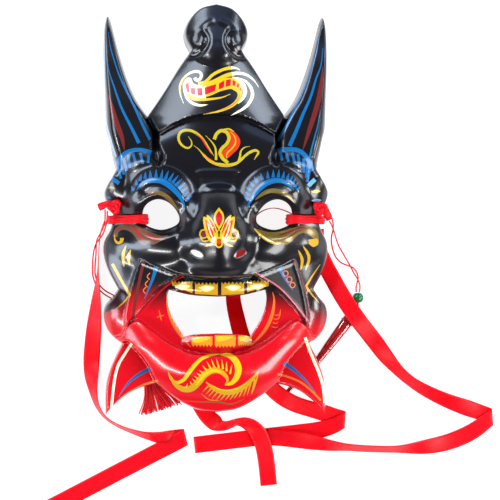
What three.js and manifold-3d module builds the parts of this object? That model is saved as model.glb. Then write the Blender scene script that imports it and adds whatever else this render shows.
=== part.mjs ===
// A souvenir nuo mask: one moulded plastic shell, lying face up on its back rim, with a red satin
// ribbon tied at each temple and a beaded tassel on each knot.
// Millimetres. +Z comes out of the face, +Y runs from the chin to the cap, and the origin is under
// the middle of the shell, on the surface it lies on.
import * as THREE from 'three';
import { mergeVertices } from 'three/addons/utils/BufferGeometryUtils.js';
import Module from 'manifold-3d';

const wasm = await Module();
wasm.setup();

// Driving dimensions
const WALL = 2.2;                 // thickness of the moulded plastic
const SURFACE_STEP = 7;           // facet size on the open surface of the shell
const OUTLINE_STEP = 6;           // spacing of points along an outline or a step
const DRAFT = 0.9;                // how far the foot of a step stands out from its top
const SIDE_DRAFT = 2.4;           // the same for the shell's own sides
const CHIN_LIFT = 8;              // how far the rim under the chin clears the table
const FIN_LIFT = 9;               // the same under the jaw fins
const SIDE_LIFT = 3.2;            // the same beside the cheeks, where the ribbons pass under the rim

const RIBBON_WIDTH = 12;
const RIBBON_THICK = 0.6;
const OFF_TABLE = 0.4;            // how far the middle of a ribbon's thickness stays off the table
const CORD_THICK = 1.1;
const BEAD_RADIUS = 4;
const BEAD_HOLE = 1.6;            // radius of the hole that both strands go into
const SLEEVE_WALL = 0.4;
const GAP = 0.4;                  // left between pieces that touch

const blackPlastic = new THREE.MeshStandardMaterial({ color: 0x17151c, roughness: 0.16 });
const redSatin = new THREE.MeshStandardMaterial({ color: 0xe2101f, roughness: 0.4 });
const greenGlass = new THREE.MeshStandardMaterial({ color: 0x0d6b3c, roughness: 0.08 });
const clearSleeve = new THREE.MeshStandardMaterial({
  color: 0xf2f2f2, roughness: 0.1, transparent: true, opacity: 0.35,
});

// Outlines. Each is the right half of a mirrored shape, from the top of the middle line to its
// foot, and a third value marks a sharp corner.
const CORNER = 1;
const SHELL_OUTLINE = [
  [0, 146.1], [11.5, 142.8], [19.1, 135.2], [22.9, 126.6], [22.4, 119.8], [18.6, 112.2, CORNER],
  [26.7, 100.6], [36.4, 84.7], [48.7, 66.2, CORNER],
  [56.8, 78.3], [63, 92.5], [68.7, 110.4], [72.2, 123.7], [75.4, 135.6], [77.2, 138.6],
  [79.4, 130.9], [80.2, 115], [80, 97.3], [79.2, 79.3], [78.3, 57.3], [75.9, 49], [73.4, 35.7],
  [71.4, 27.8, CORNER],
  [74, 22.7], [77.9, 16.2], [79.7, 11.2], [78.6, 5.4], [76, 0.4], [72.2, -5.6, CORNER],
  [75.7, -15.5], [79.2, -22], [80.3, -28.5], [79.2, -36.4], [76.5, -44.4], [69.9, -57, CORNER],
  [73.6, -62.4], [78.6, -68.2], [80.2, -74.7], [78.9, -82.6], [75.4, -89.1], [67.2, -96, CORNER],
  [71.6, -105], [75.2, -113.6], [77.9, -123.7], [78.6, -133.1], [78.4, -146.1, CORNER],
  [69.9, -137.4], [61.3, -130.9], [53.4, -127.2], [42, -124.4, CORNER],
  [32.1, -132.4], [21.4, -139], [13.3, -142.5], [0, -144.4],
];
// Fields of the shell that stand at their own height. Past the shell's edge they run on freely.
const CAP_FIELD = [
  [0, 160], [48.7, 160, CORNER], [48.7, 66.2, CORNER], [41.2, 52.4, CORNER],
  [31.5, 58], [20.2, 62.8], [10, 65], [0, 65.6],
];
const HORN_FIELD = [
  [48.7, 66.2, CORNER], [48.7, 160, CORNER], [95, 160, CORNER], [95, 27.8, CORNER],
  [71.4, 27.8, CORNER], [62, 34], [52, 37], [41.5, 34, CORNER], [41.2, 52.4, CORNER],
];
const BROW = { x: 40.4, y: 6.9, across: 24.6, along: 26 };
// The mouth with its teeth and corners lies deeper than the lips and fangs round it.
const MOUTH_FIELD = [
  [0, -48.9], [12, -48.4], [25, -46.9, CORNER], [45, -52, CORNER], [62, -70, CORNER],
  [58, -86, CORNER], [30, -108, CORNER], [0, -110],
];
const MOUTH_OPENING = [
  [0, -62], [18.2, -60.8], [33.8, -57.2, CORNER],
  [34.8, -61.7], [34.3, -68.2], [31.7, -76.1], [23.3, -90.2, CORNER],
  [17.1, -88.6], [0, -87.7],
];
const EYE_OPENING = [
  [52.5, -5], [51.2, 0.2], [47.8, 3.9], [41.8, 6], [35.2, 4.2], [29.8, -0.6], [26.9, -6.3],
  [27.3, -10.2], [31.6, -13.2], [39.3, -15.1], [46.3, -13.5], [51.3, -10.4],
];
const FANG_FIELD = [
  [54.5, -36, CORNER],
  [58.2, -46.5], [61.5, -57.7], [63.8, -68.9], [64.9, -77.5], [63.8, -83.6, CORNER],
  [55.3, -71], [47.7, -62.6], [41.2, -56.3], [31.9, -50.9], [25, -46.9, CORNER],
];
const JAW_FIELD = [
  [0, -102.8], [19.1, -101.1], [33.9, -94.1], [46.2, -84.8], [55.9, -78.5], [63.8, -83.6, CORNER],
  [68, -90, CORNER], [95, -98, CORNER], [95, -160, CORNER], [0, -160],
];
const FIN_FIELD = [
  [62.7, -93.6, CORNER], [95, -96, CORNER], [95, -160, CORNER], [42, -160, CORNER],
  [42, -124.4, CORNER], [47.4, -112.9], [52.7, -104.2],
];
const NOSTRIL = { x: 14.9, y: -31.7, long: 4.6, short: 2, turn: 0.45 };
// The crest of the lower lip, from beside the fang down to the middle of the chin.
const LIP_CREST = [
  [72, -78], [60.6, -88], [52.4, -96.5], [43.8, -104.5], [35, -110.5], [25.8, -114.6], [0, -117],
];

// Heights of the head-form, given up the middle line and out at its edge.
const MIDDLE_HEIGHT = [
  [-146, 22], [-136, 34], [-120, 42], [-100, 45], [-60, 47], [-10, 46], [30, 43], [66, 38],
  [90, 31], [112, 24], [146, 20],
];
const EDGE_HEIGHT = [
  [-146, 18], [-120, 17], [-90, 15], [-40, 16], [0, 15], [40, 16], [66, 16], [112, 15], [146, 13],
];
const HALF_WIDTH = [
  [-146, 44], [-132, 50], [-112, 62], [-90, 78], [-60, 80], [-10, 81], [40, 80], [66, 58], [90, 44],
  [112, 30], [146, 26],
];

// A smooth line of values through a few given ones, without overshoot.
function through(pairs) {
  const slopes = pairs.map((_, i) => {
    if (i === 0 || i === pairs.length - 1) return 0;
    const before = (pairs[i][1] - pairs[i - 1][1]) / (pairs[i][0] - pairs[i - 1][0]);
    const after = (pairs[i + 1][1] - pairs[i][1]) / (pairs[i + 1][0] - pairs[i][0]);
    return before * after > 0 ? (2 * before * after) / (before + after) : 0;
  });
  return (at) => {
    const t = THREE.MathUtils.clamp(at, pairs[0][0], pairs[pairs.length - 1][0]);
    let i = 0;
    while (i < pairs.length - 2 && t > pairs[i + 1][0]) i += 1;
    const span = pairs[i + 1][0] - pairs[i][0];
    const u = (t - pairs[i][0]) / span;
    const [from, to] = [pairs[i][1], pairs[i + 1][1]];
    return (1 + 2 * u) * (1 - u) ** 2 * from + u * (1 - u) ** 2 * span * slopes[i]
      + u * u * (3 - 2 * u) * to + u * u * (u - 1) * span * slopes[i + 1];
  };
}

const middleHeight = through(MIDDLE_HEIGHT);
const edgeHeight = through(EDGE_HEIGHT);
const halfWidth = through(HALF_WIDTH);

// A round hump: 1 in its middle, 0 from its rim on, blunt at the rim when sharpness is small.
function hump(x, y, middleX, middleY, across, along, sharpness = 1.5) {
  const far = ((x - middleX) / across) ** 2 + ((y - middleY) / along) ** 2;
  return far < 1 ? (1 - far) ** sharpness : 0;
}

function distanceToLine(x, y, line) {
  let best = Infinity;
  for (let i = 1; i < line.length; i += 1) {
    const [ax, ay] = line[i - 1];
    const [bx, by] = line[i];
    const length = (bx - ax) ** 2 + (by - ay) ** 2;
    const along = THREE.MathUtils.clamp(((x - ax) * (bx - ax) + (y - ay) * (by - ay)) / length, 0, 1);
    best = Math.min(best, Math.hypot(x - ax - along * (bx - ax), y - ay - along * (by - ay)));
  }
  return best;
}

function headForm(x, y) {
  const out = Math.min(1, Math.abs(x) / halfWidth(y));
  return edgeHeight(y) + (middleHeight(y) - edgeHeight(y)) * (1 - out ** 2.3);
}

function faceHeight(x, y) {
  const side = Math.abs(x);
  const brow = 8 * hump(side, y, BROW.x, BROW.y, BROW.across, BROW.along, 0.7);
  const socket = -8 * hump(side, y, 40, -5, 17, 15, 0.8);
  const bridge = 9 * hump(x, y, 0, 12, 14, 26, 1);
  const nose = 27 * hump(x, y, 0, -18, 20, 21, 0.8);
  const wings = 13 * hump(side, y, 18, -27, 11, 10, 0.8);
  const apple = 8 * hump(side, y, 44, -27, 27, 11, 0.9);
  const upperLip = 8 * hump(x, y, 0, -42, 34, 8, 0.8);
  const lobe = 5 * hump(side, y, 73, -74, 14, 18, 1);
  return headForm(x, y) + brow + socket + bridge + nose + wings + apple + upperLip + lobe;
}

function capHeight(x, y) {
  const side = Math.abs(x);
  const curl = 8 * hump(x, y, 0, 129, 24, 20, 0.6);
  const lobes = 5 * hump(side, y, 15, 122, 9, 11, 0.8);
  const crease = -5 * hump(side, y, 8.5, 122, 3.2, 10, 0.8);
  return headForm(x, y) + 3.5 + curl + lobes + crease;
}

const hornInside = through([
  [27, 41], [52, 41.5], [66, 48.7], [78, 56.8], [92, 63], [110, 68.7], [124, 72.2], [139, 77],
]);
const hornOutside = through([
  [27, 71.4], [57, 78.3], [80, 79.2], [100, 80], [115, 80.2], [131, 79.4], [139, 77.4],
]);
const hornCrest = through([[27, 32], [66, 27], [100, 21], [139, 13]]);
function hornHeight(x, y) {
  const across = (Math.abs(x) - hornInside(y)) / (hornOutside(y) - hornInside(y));
  const round = Math.sin(Math.PI * THREE.MathUtils.clamp(across, 0, 1)) ** 0.7;
  return 10 + (hornCrest(y) - 10) * round;
}

const mouthHeight = (x, y) => headForm(x, y) - 7 + 4 * hump(x, y, 0, -54, 30, 8, 0.6)
  + 3 * hump(x, y, 0, -95, 26, 7, 0.6);
const fangHeight = (x, y) => headForm(x, y) + 5 + 2 * hump(Math.abs(x), y, 52, -55, 20, 30, 1);

function jawHeight(x, y) {
  const side = Math.abs(x);
  const away = distanceToLine(side, y, LIP_CREST) / 17;
  const lip = away < 1 ? 10 * (1 - away * away) : 0;
  return headForm(x, y) + lip + 4 * hump(x, y, 0, -128, 30, 16, 1);
}

const finHeight = (x, y) => 17 + 4 * hump(Math.abs(x), y, 66, -112, 24, 40, 1);

// How far the back rim stands off the table, all round the shell.
function rimHeight(x, y) {
  const side = Math.abs(x);
  const chin = CHIN_LIFT * THREE.MathUtils.smoothstep(-y, 88, 106);
  const fin = (FIN_LIFT - CHIN_LIFT) * hump(side, y, 66, -120, 26, 30, 0.4);
  const cheek = SIDE_LIFT * hump(side, y, 76, -28, 24, 42, 0.3);
  return chin + fin + cheek;
}

// The points of an outline: curves between its corners.
function walk(points, step, closed) {
  const ring = closed ? [...points, points[0]] : points;
  const out = [];
  let stretch = [];
  const lay = () => {
    if (stretch.length < 2) return;
    const vectors = stretch.map(([x, y]) => new THREE.Vector3(x, y, 0));
    const curve = new THREE.CatmullRomCurve3(vectors, false, 'centripetal');
    const count = Math.max(1, Math.round(curve.getLength() / step));
    curve.getSpacedPoints(count).slice(0, -1).forEach((p) => out.push([p.x, p.y]));
  };
  ring.forEach((point, i) => {
    stretch.push(point);
    if ((point[2] && i > 0) || i === ring.length - 1) {
      lay();
      stretch = [point];
    }
  });
  if (!closed) out.push([points[points.length - 1][0], points[points.length - 1][1]]);
  return out;
}

// A half outline that starts and ends on the middle line, mirrored to a whole one.
function whole(half, step) {
  const right = walk(half, step, false);
  const left = right.slice(1, -1).reverse().map(([x, y]) => [-x, y]);
  return [...right, ...left];
}

const oneSide = (points, step, side) => walk(points, step, true).map(([x, y]) => [side * x, y]);

function ellipse({ x, y, long, short, turn = 0 }, side, count) {
  return Array.from({ length: count }, (_, i) => {
    const angle = (2 * Math.PI * i) / count;
    const along = long * Math.cos(angle);
    const over = short * Math.sin(angle);
    return [
      side * (x + along * Math.cos(turn) - over * Math.sin(turn)),
      y + along * Math.sin(turn) + over * Math.cos(turn),
    ];
  });
}

function distanceToRing(x, y, ring) {
  return distanceToLine(x, y, [...ring, ring[0]]);
}

// An outline moved in (or out, below zero) by a wall's thickness.
function inset(ring, by) {
  const turn = Math.sign(THREE.ShapeUtils.area(ring.map(([x, y]) => new THREE.Vector2(x, y))));
  const moved = ring.map(([x, y], i) => {
    const [bx, by2] = ring[(i + ring.length - 1) % ring.length];
    const [ax, ay] = ring[(i + 1) % ring.length];
    const before = new THREE.Vector2(by2 - y, x - bx).normalize();
    const after = new THREE.Vector2(y - ay, ax - x).normalize();
    const out = before.add(after).normalize().multiplyScalar(turn * by);
    return [x + out.x, y + out.y];
  });
  return moved.filter(([x, y]) => distanceToRing(x, y, ring) > Math.abs(by) * 0.9);
}

function toManifold(geometry) {
  const bare = geometry.clone();
  bare.deleteAttribute('normal');
  bare.deleteAttribute('uv');
  const merged = mergeVertices(bare, 1e-4);
  return new wasm.Manifold(new wasm.Mesh({
    numProp: 3,
    vertProperties: new Float32Array(merged.attributes.position.array),
    triVerts: new Uint32Array(merged.index.array),
  }));
}

function toGeometry(solid) {
  const mesh = solid.getMesh();
  const geometry = new THREE.BufferGeometry();
  const places = new Float32Array((mesh.vertProperties.length / mesh.numProp) * 3);
  for (let i = 0; i < places.length / 3; i += 1) {
    for (let k = 0; k < 3; k += 1) places[3 * i + k] = mesh.vertProperties[mesh.numProp * i + k];
  }
  geometry.setAttribute('position', new THREE.BufferAttribute(places, 3));
  geometry.setIndex(new THREE.BufferAttribute(new Uint32Array(mesh.triVerts), 1));
  const flat = geometry.toNonIndexed();
  flat.computeVertexNormals();
  return flat;
}

// The fields of the shell that stand at their own height, the uppermost first.
const bothSides = (points) => [1, -1].map((side) => oneSide(points, OUTLINE_STEP, side));
const FIELDS = [
  { rings: [whole(CAP_FIELD, OUTLINE_STEP)], height: capHeight },
  { rings: bothSides(HORN_FIELD), height: hornHeight },
  { rings: bothSides(FANG_FIELD), height: fangHeight },
  { rings: bothSides(FIN_FIELD), height: finHeight },
  { rings: [whole(JAW_FIELD, OUTLINE_STEP)], height: jawHeight },
  { rings: [whole(MOUTH_FIELD, OUTLINE_STEP)], height: mouthHeight },
];
const OUTLINE = whole(SHELL_OUTLINE, OUTLINE_STEP);
const OPENINGS = [
  whole(MOUTH_OPENING, OUTLINE_STEP),
  ...bothSides(EYE_OPENING),
  ...[1, -1].map((side) => ellipse(NOSTRIL, side, 8)),
];

function insideRing(x, y, ring) {
  let inside = false;
  ring.forEach(([ax, ay], i) => {
    const [bx, by] = ring[(i + 1) % ring.length];
    if ((ay > y) !== (by > y) && x < ax + ((bx - ax) * (y - ay)) / (by - ay)) inside = !inside;
  });
  return inside;
}

const onShell = (x, y) => insideRing(x, y, OUTLINE) && !OPENINGS.some((ring) => insideRing(x, y, ring));

function fieldHeight(x, y) {
  const field = FIELDS.find(({ rings }) => rings.some((ring) => insideRing(x, y, ring)));
  return field ? field.height(x, y) : faceHeight(x, y);
}

// The front: the fields, with the shell's side falling from them to its rim.
function frontHeight(x, y) {
  const rim = rimHeight(x, y) + WALL;
  const in_ = distanceToRing(x, y, OUTLINE);
  const rise = Math.min(1, in_ / SIDE_DRAFT);
  return rim + (fieldHeight(x, y) - rim) * rise;
}

// The hollow: a wall's thickness behind the front, and open at the rim.
function backHeight(x, y) {
  if (distanceToRing(x, y, OUTLINE) < SIDE_DRAFT + 0.1) return rimHeight(x, y);
  const near = [0, 1, 2, 3, 4, 5, 6, 7].map((i) => {
    const angle = (Math.PI * i) / 4;
    return fieldHeight(x + WALL * Math.cos(angle), y + WALL * Math.sin(angle));
  });
  return Math.min(fieldHeight(x, y), ...near) - WALL;
}

// Delaunay triangles over points in the plane, laid in one point at a time.
function triangulate(points) {
  const far = 1e4;
  const all = [...points, [-far, -far], [far, -far], [0, far]];
  const circle = (a, b, c) => {
    const [ax, ay] = all[a];
    const [bx, by] = [all[b][0] - ax, all[b][1] - ay];
    const [cx, cy] = [all[c][0] - ax, all[c][1] - ay];
    const twice = 2 * (bx * cy - by * cx);
    const ux = (cy * (bx * bx + by * by) - by * (cx * cx + cy * cy)) / twice;
    const uy = (bx * (cx * cx + cy * cy) - cx * (bx * bx + by * by)) / twice;
    return { a, b, c, x: ax + ux, y: ay + uy, reach: ux * ux + uy * uy };
  };
  let triangles = [circle(points.length, points.length + 1, points.length + 2)];
  points.forEach(([x, y], i) => {
    const edges = new Map();
    triangles = triangles.filter((t) => {
      if ((t.x - x) ** 2 + (t.y - y) ** 2 >= t.reach) return true;
      for (const [from, to] of [[t.a, t.b], [t.b, t.c], [t.c, t.a]]) {
        if (!edges.delete(`${to} ${from}`)) edges.set(`${from} ${to}`, [from, to]);
      }
      return false;
    });
    for (const [from, to] of edges.values()) triangles.push(circle(from, to, i));
  });
  return triangles.filter((t) => Math.max(t.a, t.b, t.c) < points.length).map((t) => [t.a, t.b, t.c]);
}

// The points of the shell's plan: its outlines, both sides of every step, and the open surface.
function planPoints() {
  const points = [];
  const spread = (ring, closeness) => ring.forEach(([x, y], i) => {
    const wobble = 1e-3 * Math.sin(7 * (i + points.length));
    const clear = points.every(([px, py]) => Math.hypot(px - x, py - y) > closeness);
    if (clear) points.push([x + wobble, y + wobble]);
  });
  spread(OUTLINE, 0);
  for (const ring of OPENINGS) spread(ring, 0);
  spread(inset(OUTLINE, SIDE_DRAFT), 1);
  spread(inset(OUTLINE, SIDE_DRAFT + 0.7), 0.4);
  for (const ring of FIELDS.flatMap(({ rings }) => rings)) {
    for (const side of [-0.5, 0.5]) {
      const line = inset(ring, side * DRAFT);
      const clear = ([x, y]) => onShell(x, y) && distanceToRing(x, y, OUTLINE) > SIDE_DRAFT + 1.4
        && OPENINGS.every((opening) => distanceToRing(x, y, opening) > 1.5);
      spread(line.filter(clear), 0.8);
    }
  }
  const open = [];
  for (let row = 0; row < 302 / (SURFACE_STEP * 0.87); row += 1) {
    for (let column = -15; column <= 15; column += 1) {
      const x = (column + (row % 2) / 2) * SURFACE_STEP;
      open.push([x, -150 + row * SURFACE_STEP * 0.87]);
    }
  }
  spread(open.filter(([x, y]) => onShell(x, y)), SURFACE_STEP * 0.62);
  return points;
}

function maskShell() {
  const points = planPoints();
  const kept = triangulate(points).filter((corners) => {
    const x = corners.reduce((sum, i) => sum + points[i][0] / 3, 0);
    const y = corners.reduce((sum, i) => sum + points[i][1] / 3, 0);
    return onShell(x, y);
  });
  const places = points.flatMap(([x, y]) => [x, y, frontHeight(x, y)]);
  places.push(...points.flatMap(([x, y]) => [x, y, backHeight(x, y)]));
  const behind = points.length;
  const faces = [];
  const edges = new Map();
  for (const [a, b, c] of kept) {
    faces.push(a, b, c, c + behind, b + behind, a + behind);
    for (const [from, to] of [[a, b], [b, c], [c, a]]) {
      if (!edges.delete(`${to} ${from}`)) edges.set(`${from} ${to}`, [from, to]);
    }
  }
  for (const [from, to] of edges.values()) {
    faces.push(to, from, from + behind, to, from + behind, to + behind);
  }
  const geometry = new THREE.BufferGeometry();
  geometry.setAttribute('position', new THREE.Float32BufferAttribute(places, 3));
  geometry.setIndex(faces);
  return geometry;
}

// Ribbons. A station is [x, y, z, tilt, heading]: the middle of the ribbon, how far its width leans
// up from the flat in degrees, and, at a fold, the heading of its width. Elsewhere the width lies
// square to the way the ribbon runs.
const LEFT_OUTER_TAIL = [
  [-78.8, -9, 10, 80], [-81.8, -16, 7.4, 86], [-83.2, -25.6, 6.4, 88], [-83.6, -35, 6.6, 88],
  [-84, -46, 7.8, 84], [-84.4, -54, 7.9, 74], [-85, -62, 6.8, 62], [-86, -74, 4.6, 44],
  [-87, -86, 2.8, 26], [-88, -98, 1.9, 16], [-88.6, -108.6, 1.5, 13], [-88.6, -120, 3.6, 36],
  [-87.2, -131, 5.6, 62], [-84, -141.5, 6.2, 74], [-78.6, -149, 6.3, 78], [-70.5, -154.5, 6.3, 76],
  [-61, -158.5, 6.2, 72], [-50.5, -161.8, 5.8, 62], [-41, -163.6, 4.6, 44], [-33.5, -164.4, 2.4, 18],
  [-27.5, -164.3, 0.6, 0, 104], [-22.2, -163.8, 0.7, 0, 104], [-21.1, -163.9, 1.3, 0, 104],
  [-22.3, -164.4, 2, 0, 104], [-28, -167.3, 2, 0, 112], [-36, -171.4, 1.5, 0], [-46, -176.5, 0.7, 0],
  [-58, -182.7, 0.5, 0], [-72, -189.9, 0.5, 0], [-90, -199.2, 0.5, 0], [-108, -208.5, 0.5, 0],
  [-122, -215.7, 0.5, 0],
];
const LEFT_INNER_TAIL = [
  [-65.4, -13, 6.4, 86], [-61, -23, 6.4, 86], [-54.5, -38, 6.3, 84], [-48.5, -54, 6.2, 80],
  [-44, -70, 6, 72], [-39.5, -88, 5, 54], [-31, -106, 3.2, 30], [-20.5, -124, 1.4, 10],
  [-11.5, -139, 0.6, 0], [-5.5, -148.5, 0.6, 0], [0.5, -154, 1.9, 16, 55], [3.6, -155.6, 4, 44, 66],
  [8, -155.4, 5.2, 52, 84], [13.5, -153.6, 5.6, 52, 74], [18.6, -152.4, 5.6, 46, 50],
  [24.6, -154.6, 5.8, 32, 42], [30.4, -160.4, 4.6, 10, 32], [34, -168, 3.3, 0, 22],
  [36.2, -177, 1.8, 0], [37.6, -187, 0.5, 0], [38.8, -199, 0.5, 0],
];
const RIGHT_INNER_TAIL = [
  [65.4, -12.6, 6.4, 86], [59, -6, 6.4, 88], [51, -1.4, 6.4, 89], [42, 0.9, 6.4, 89],
  [34.5, -0.8, 6.4, 89], [28.6, -5, 6.4, 88], [23.6, -13, 6.3, 80], [20.6, -24, 5.6, 64],
  [18.2, -38, 4.4, 46], [14.6, -52, 3.6, 36], [12.9, -62, 3.3, 33], [13.8, -70, 2.9, 28],
  [15.6, -78, 2.4, 22], [18.2, -88, 1.9, 16], [23, -101, 1.7, 14], [30.2, -115, 2.2, 20],
  [39, -127, 4.4, 20], [48.2, -135, 5.6, 8], [58, -140.4, 3.4, 12], [69.5, -144.2, 1.6, 12],
  [80.8, -147.6, 0.8, 2], [88, -149.9, 0.6, 0, 88], [93, -151.4, 0.7, 0, 86], [94, -151.9, 1.3, 0, 86],
  [93, -152.6, 1.9, 0, 86], [86.6, -155.8, 1.9, 0, 90], [76, -159, 1.2, 0], [61.3, -161, 0.5, 0],
  [39.7, -163.4, 0.5, 0], [10.8, -166.7, 0.5, 0], [-15, -169.6, 0.5, 0],
];
const RIGHT_OUTER_TAIL = [
  [72.8, -14, 1, 0], [73, -21, 1, 0], [75.2, -30, 1, 0], [79.4, -39.6, 1.2, 0], [84.6, -49.6, 3.2, 0],
  [90, -60, 7.4, 0], [96, -70, 10, 0], [103.4, -80.6, 9.6, 0], [110, -88.6, 6, 4],
  [116.4, -96.6, 3.6, 12], [123.4, -106, 3.6, 30], [131.4, -115.4, 5, 50], [140.4, -123.4, 5.3, 54],
  [151.3, -130.3, 4.8, 46], [166.9, -137.8, 3.6, 32], [183, -143.8, 1.7, 12],
  [193, -147.1, 0.6, 0, 92], [200.4, -149.8, 0.7, 0, 94], [201.6, -150.4, 1.3, 0, 94],
  [200.4, -151.4, 1.9, 0, 94], [192, -157.6, 1.9, 0, 106], [183, -163, 1.2, 0],
  [168.8, -168.6, 1.2, 6], [152.4, -171.6, 3.2, 26], [131, -173, 5.6, 60], [111.8, -172.6, 5.7, 62],
  [95, -171.4, 5.6, 60], [82, -170, 4.9, 44], [66.4, -167.2, 3, 16], [50.5, -165, 1.6, 0],
  [37, -163.8, 1.4, 0],
];

// The edges of a ribbon along its route, as points a fixed number to each station.
function ribbonEdges(route, perStation) {
  const middles = route.map(([x, y, z]) => new THREE.Vector3(x, y, z));
  const acrosses = [];
  route.forEach(([, , , tilt, heading], i) => {
    const run = middles[Math.min(i + 1, route.length - 1)].clone().sub(middles[Math.max(i - 1, 0)]);
    const square = Math.atan2(run.y, run.x) + Math.PI / 2;
    const angle = heading === undefined ? square : THREE.MathUtils.degToRad(heading);
    const flat = new THREE.Vector3(Math.cos(angle), Math.sin(angle), 0);
    const last = acrosses[i - 1];
    if (last && flat.dot(last) < 0) flat.negate();
    const lean = THREE.MathUtils.degToRad(tilt);
    const across = flat.multiplyScalar(Math.cos(lean)).add(new THREE.Vector3(0, 0, Math.sin(lean)));
    acrosses.push(across.multiplyScalar(RIBBON_WIDTH));
    middles[i].z = Math.max(middles[i].z, OFF_TABLE + Math.abs(acrosses[i].z) / 2);
  });
  const edge = (sign) => {
    const points = middles.map((middle, i) => middle.clone().addScaledVector(acrosses[i], sign / 2));
    const curve = new THREE.CatmullRomCurve3(points, false, 'centripetal');
    const laid = curve.getPoints(perStation * (route.length - 1));
    return laid.map((point) => point.setZ(Math.max(point.z, OFF_TABLE)));
  };
  return [edge(1), edge(-1)];
}

// A strip of even thickness between two edges, closed at its ends or, for a ring, on itself.
function strip([left, right], thick, ring = false) {
  const count = left.length;
  const places = [];
  left.forEach((from, i) => {
    const before = ring ? (i + count - 1) % count : Math.max(i - 1, 0);
    const after = ring ? (i + 1) % count : Math.min(i + 1, count - 1);
    const run = left[after].clone().add(right[after]).sub(left[before]).sub(right[before]);
    const up = run.cross(right[i].clone().sub(from)).normalize().multiplyScalar(thick / 2);
    for (const [edge, sign] of [[from, 1], [right[i], 1], [right[i], -1], [from, -1]]) {
      places.push(...edge.clone().addScaledVector(up, -sign).toArray());
    }
  });
  const faces = [];
  const spans = ring ? count : count - 1;
  for (let i = 0; i < spans; i += 1) {
    const next = (i + 1) % count;
    for (let k = 0; k < 4; k += 1) {
      const [a, b] = [4 * i + k, 4 * i + ((k + 1) % 4)];
      const [c, d] = [4 * next + ((k + 1) % 4), 4 * next + k];
      faces.push(a, b, c, a, c, d);
    }
  }
  if (!ring) {
    const end = 4 * (count - 1);
    faces.push(0, 2, 1, 0, 3, 2, end, end + 1, end + 2, end, end + 2, end + 3);
  }
  const geometry = new THREE.BufferGeometry();
  geometry.setAttribute('position', new THREE.Float32BufferAttribute(places, 3));
  geometry.setIndex(faces);
  return geometry;
}

// Pendant cords, the beads they hold and the tassels under them. A cord's point is [x, y, z].
const LEFT_STRAND_A = [
  [-78.6, -0.8, 25.6], [-78.6, -5, 23], [-79, -9.6, 19.6], [-80.4, -14, 17], [-82.4, -18, 15],
  [-84.6, -22, 12.4], [-85.2, -26.4, 8], [-85.4, -31, 3.2], [-85.8, -36, 0.9], [-86.2, -41.7, 0.6],
  [-86, -47.2, 0.6], [-83.8, -53.2, 0.6], [-79.4, -58, 0.6], [-73.4, -61.4, 0.7], [-68, -64, 1.6],
  [-63.4, -66.9, 3.4],
];
const LEFT_STRAND_B = [
  [-77, -1.6, 26.4], [-77.2, -7, 24.4], [-78.4, -13, 21.4], [-80.6, -18.4, 18], [-83.2, -22, 15],
  [-85.6, -25.6, 11], [-87, -30.4, 5.4], [-87.8, -36, 1.4], [-88, -41.6, 0.6], [-87.6, -48.4, 0.6],
  [-84.8, -55.4, 0.6], [-80, -60.6, 0.6], [-74, -64, 0.7], [-68.4, -66, 1.7], [-63.9, -68.4, 3.4],
];
const LEFT_BEAD = { at: [-59.6, -70.4, 4], toward: [-63.9, -67.6, 4] };
const LEFT_TASSEL = [
  [-58.4, -71.2, 4, 1, 1], [-56.4, -72.6, 4, 1, 1], [-54.6, -74.6, 3.9, 2.6, 2.6],
  [-52.8, -80, 3.6, 4, 3.3], [-50.6, -92, 3.5, 4.2, 3.2], [-48.6, -106, 3.4, 4.3, 3.1],
  [-46.4, -120, 3.2, 4.8, 2.8], [-43.4, -131, 2.6, 7.4, 2.2], [-40.6, -139, 1.9, 12.4, 1.5],
  [-39, -144.6, 1.3, 15.6, 0.9],
];
const RIGHT_STRAND_A = [
  [78.4, 1.6, 26.4], [81.4, -4, 22.4], [83.9, -9.9, 14.6], [84.6, -15.2, 7.4], [84, -19.4, 3],
  [84.3, -24.2, 0.9], [85.6, -30.2, 0.6], [87.8, -35, 0.6], [91.3, -38.4, 0.6], [96.4, -40.6, 0.6],
  [99.9, -42.1, 0.6], [102.5, -45.2, 0.6], [103.6, -49.3, 0.6], [103, -52.6, 0.7], [102, -56, 1.7],
  [101.9, -59.4, 3.4],
];
const RIGHT_STRAND_B = [
  [80.6, -8.8, 22.6], [83, -12.2, 17], [85.2, -16.6, 10.4], [87.4, -21.6, 4.4], [89.6, -26.4, 1],
  [92.8, -32, 0.7], [95.6, -37, 1.7], [97.4, -40.2, 2.6], [99, -43.2, 1.8], [100.8, -46.6, 1.6],
  [103.2, -50.6, 2.5], [104.6, -54.4, 2.2], [104.6, -57.4, 2.6], [104.1, -59.6, 3.6],
];
const RIGHT_BEAD = { at: [103.1, -63.7, 4], toward: [103, -58.5, 4] };
const RIGHT_TASSEL = [
  [103.1, -65.4, 4, 1, 1], [102.8, -69.2, 4, 1, 1], [101.2, -72.4, 3.9, 2.8, 2.6],
  [98.6, -76.4, 3.6, 4, 3], [95.2, -81, 3.8, 4.2, 2.8], [90, -88, 3.7, 3.9, 2.7],
  [82, -98.5, 3.5, 3.3, 2.5], [74.3, -108.6, 3.2, 2.6, 2.2], [66, -117.2, 2.9, 2.1, 1.9],
  [58.5, -125, 2.5, 1.7, 1.5], [51.6, -131.6, 2.2, 1.4, 1.2],
];
const SLEEVE_FROM = 4;            // the tassel's station at which its clear sleeve starts

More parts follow.
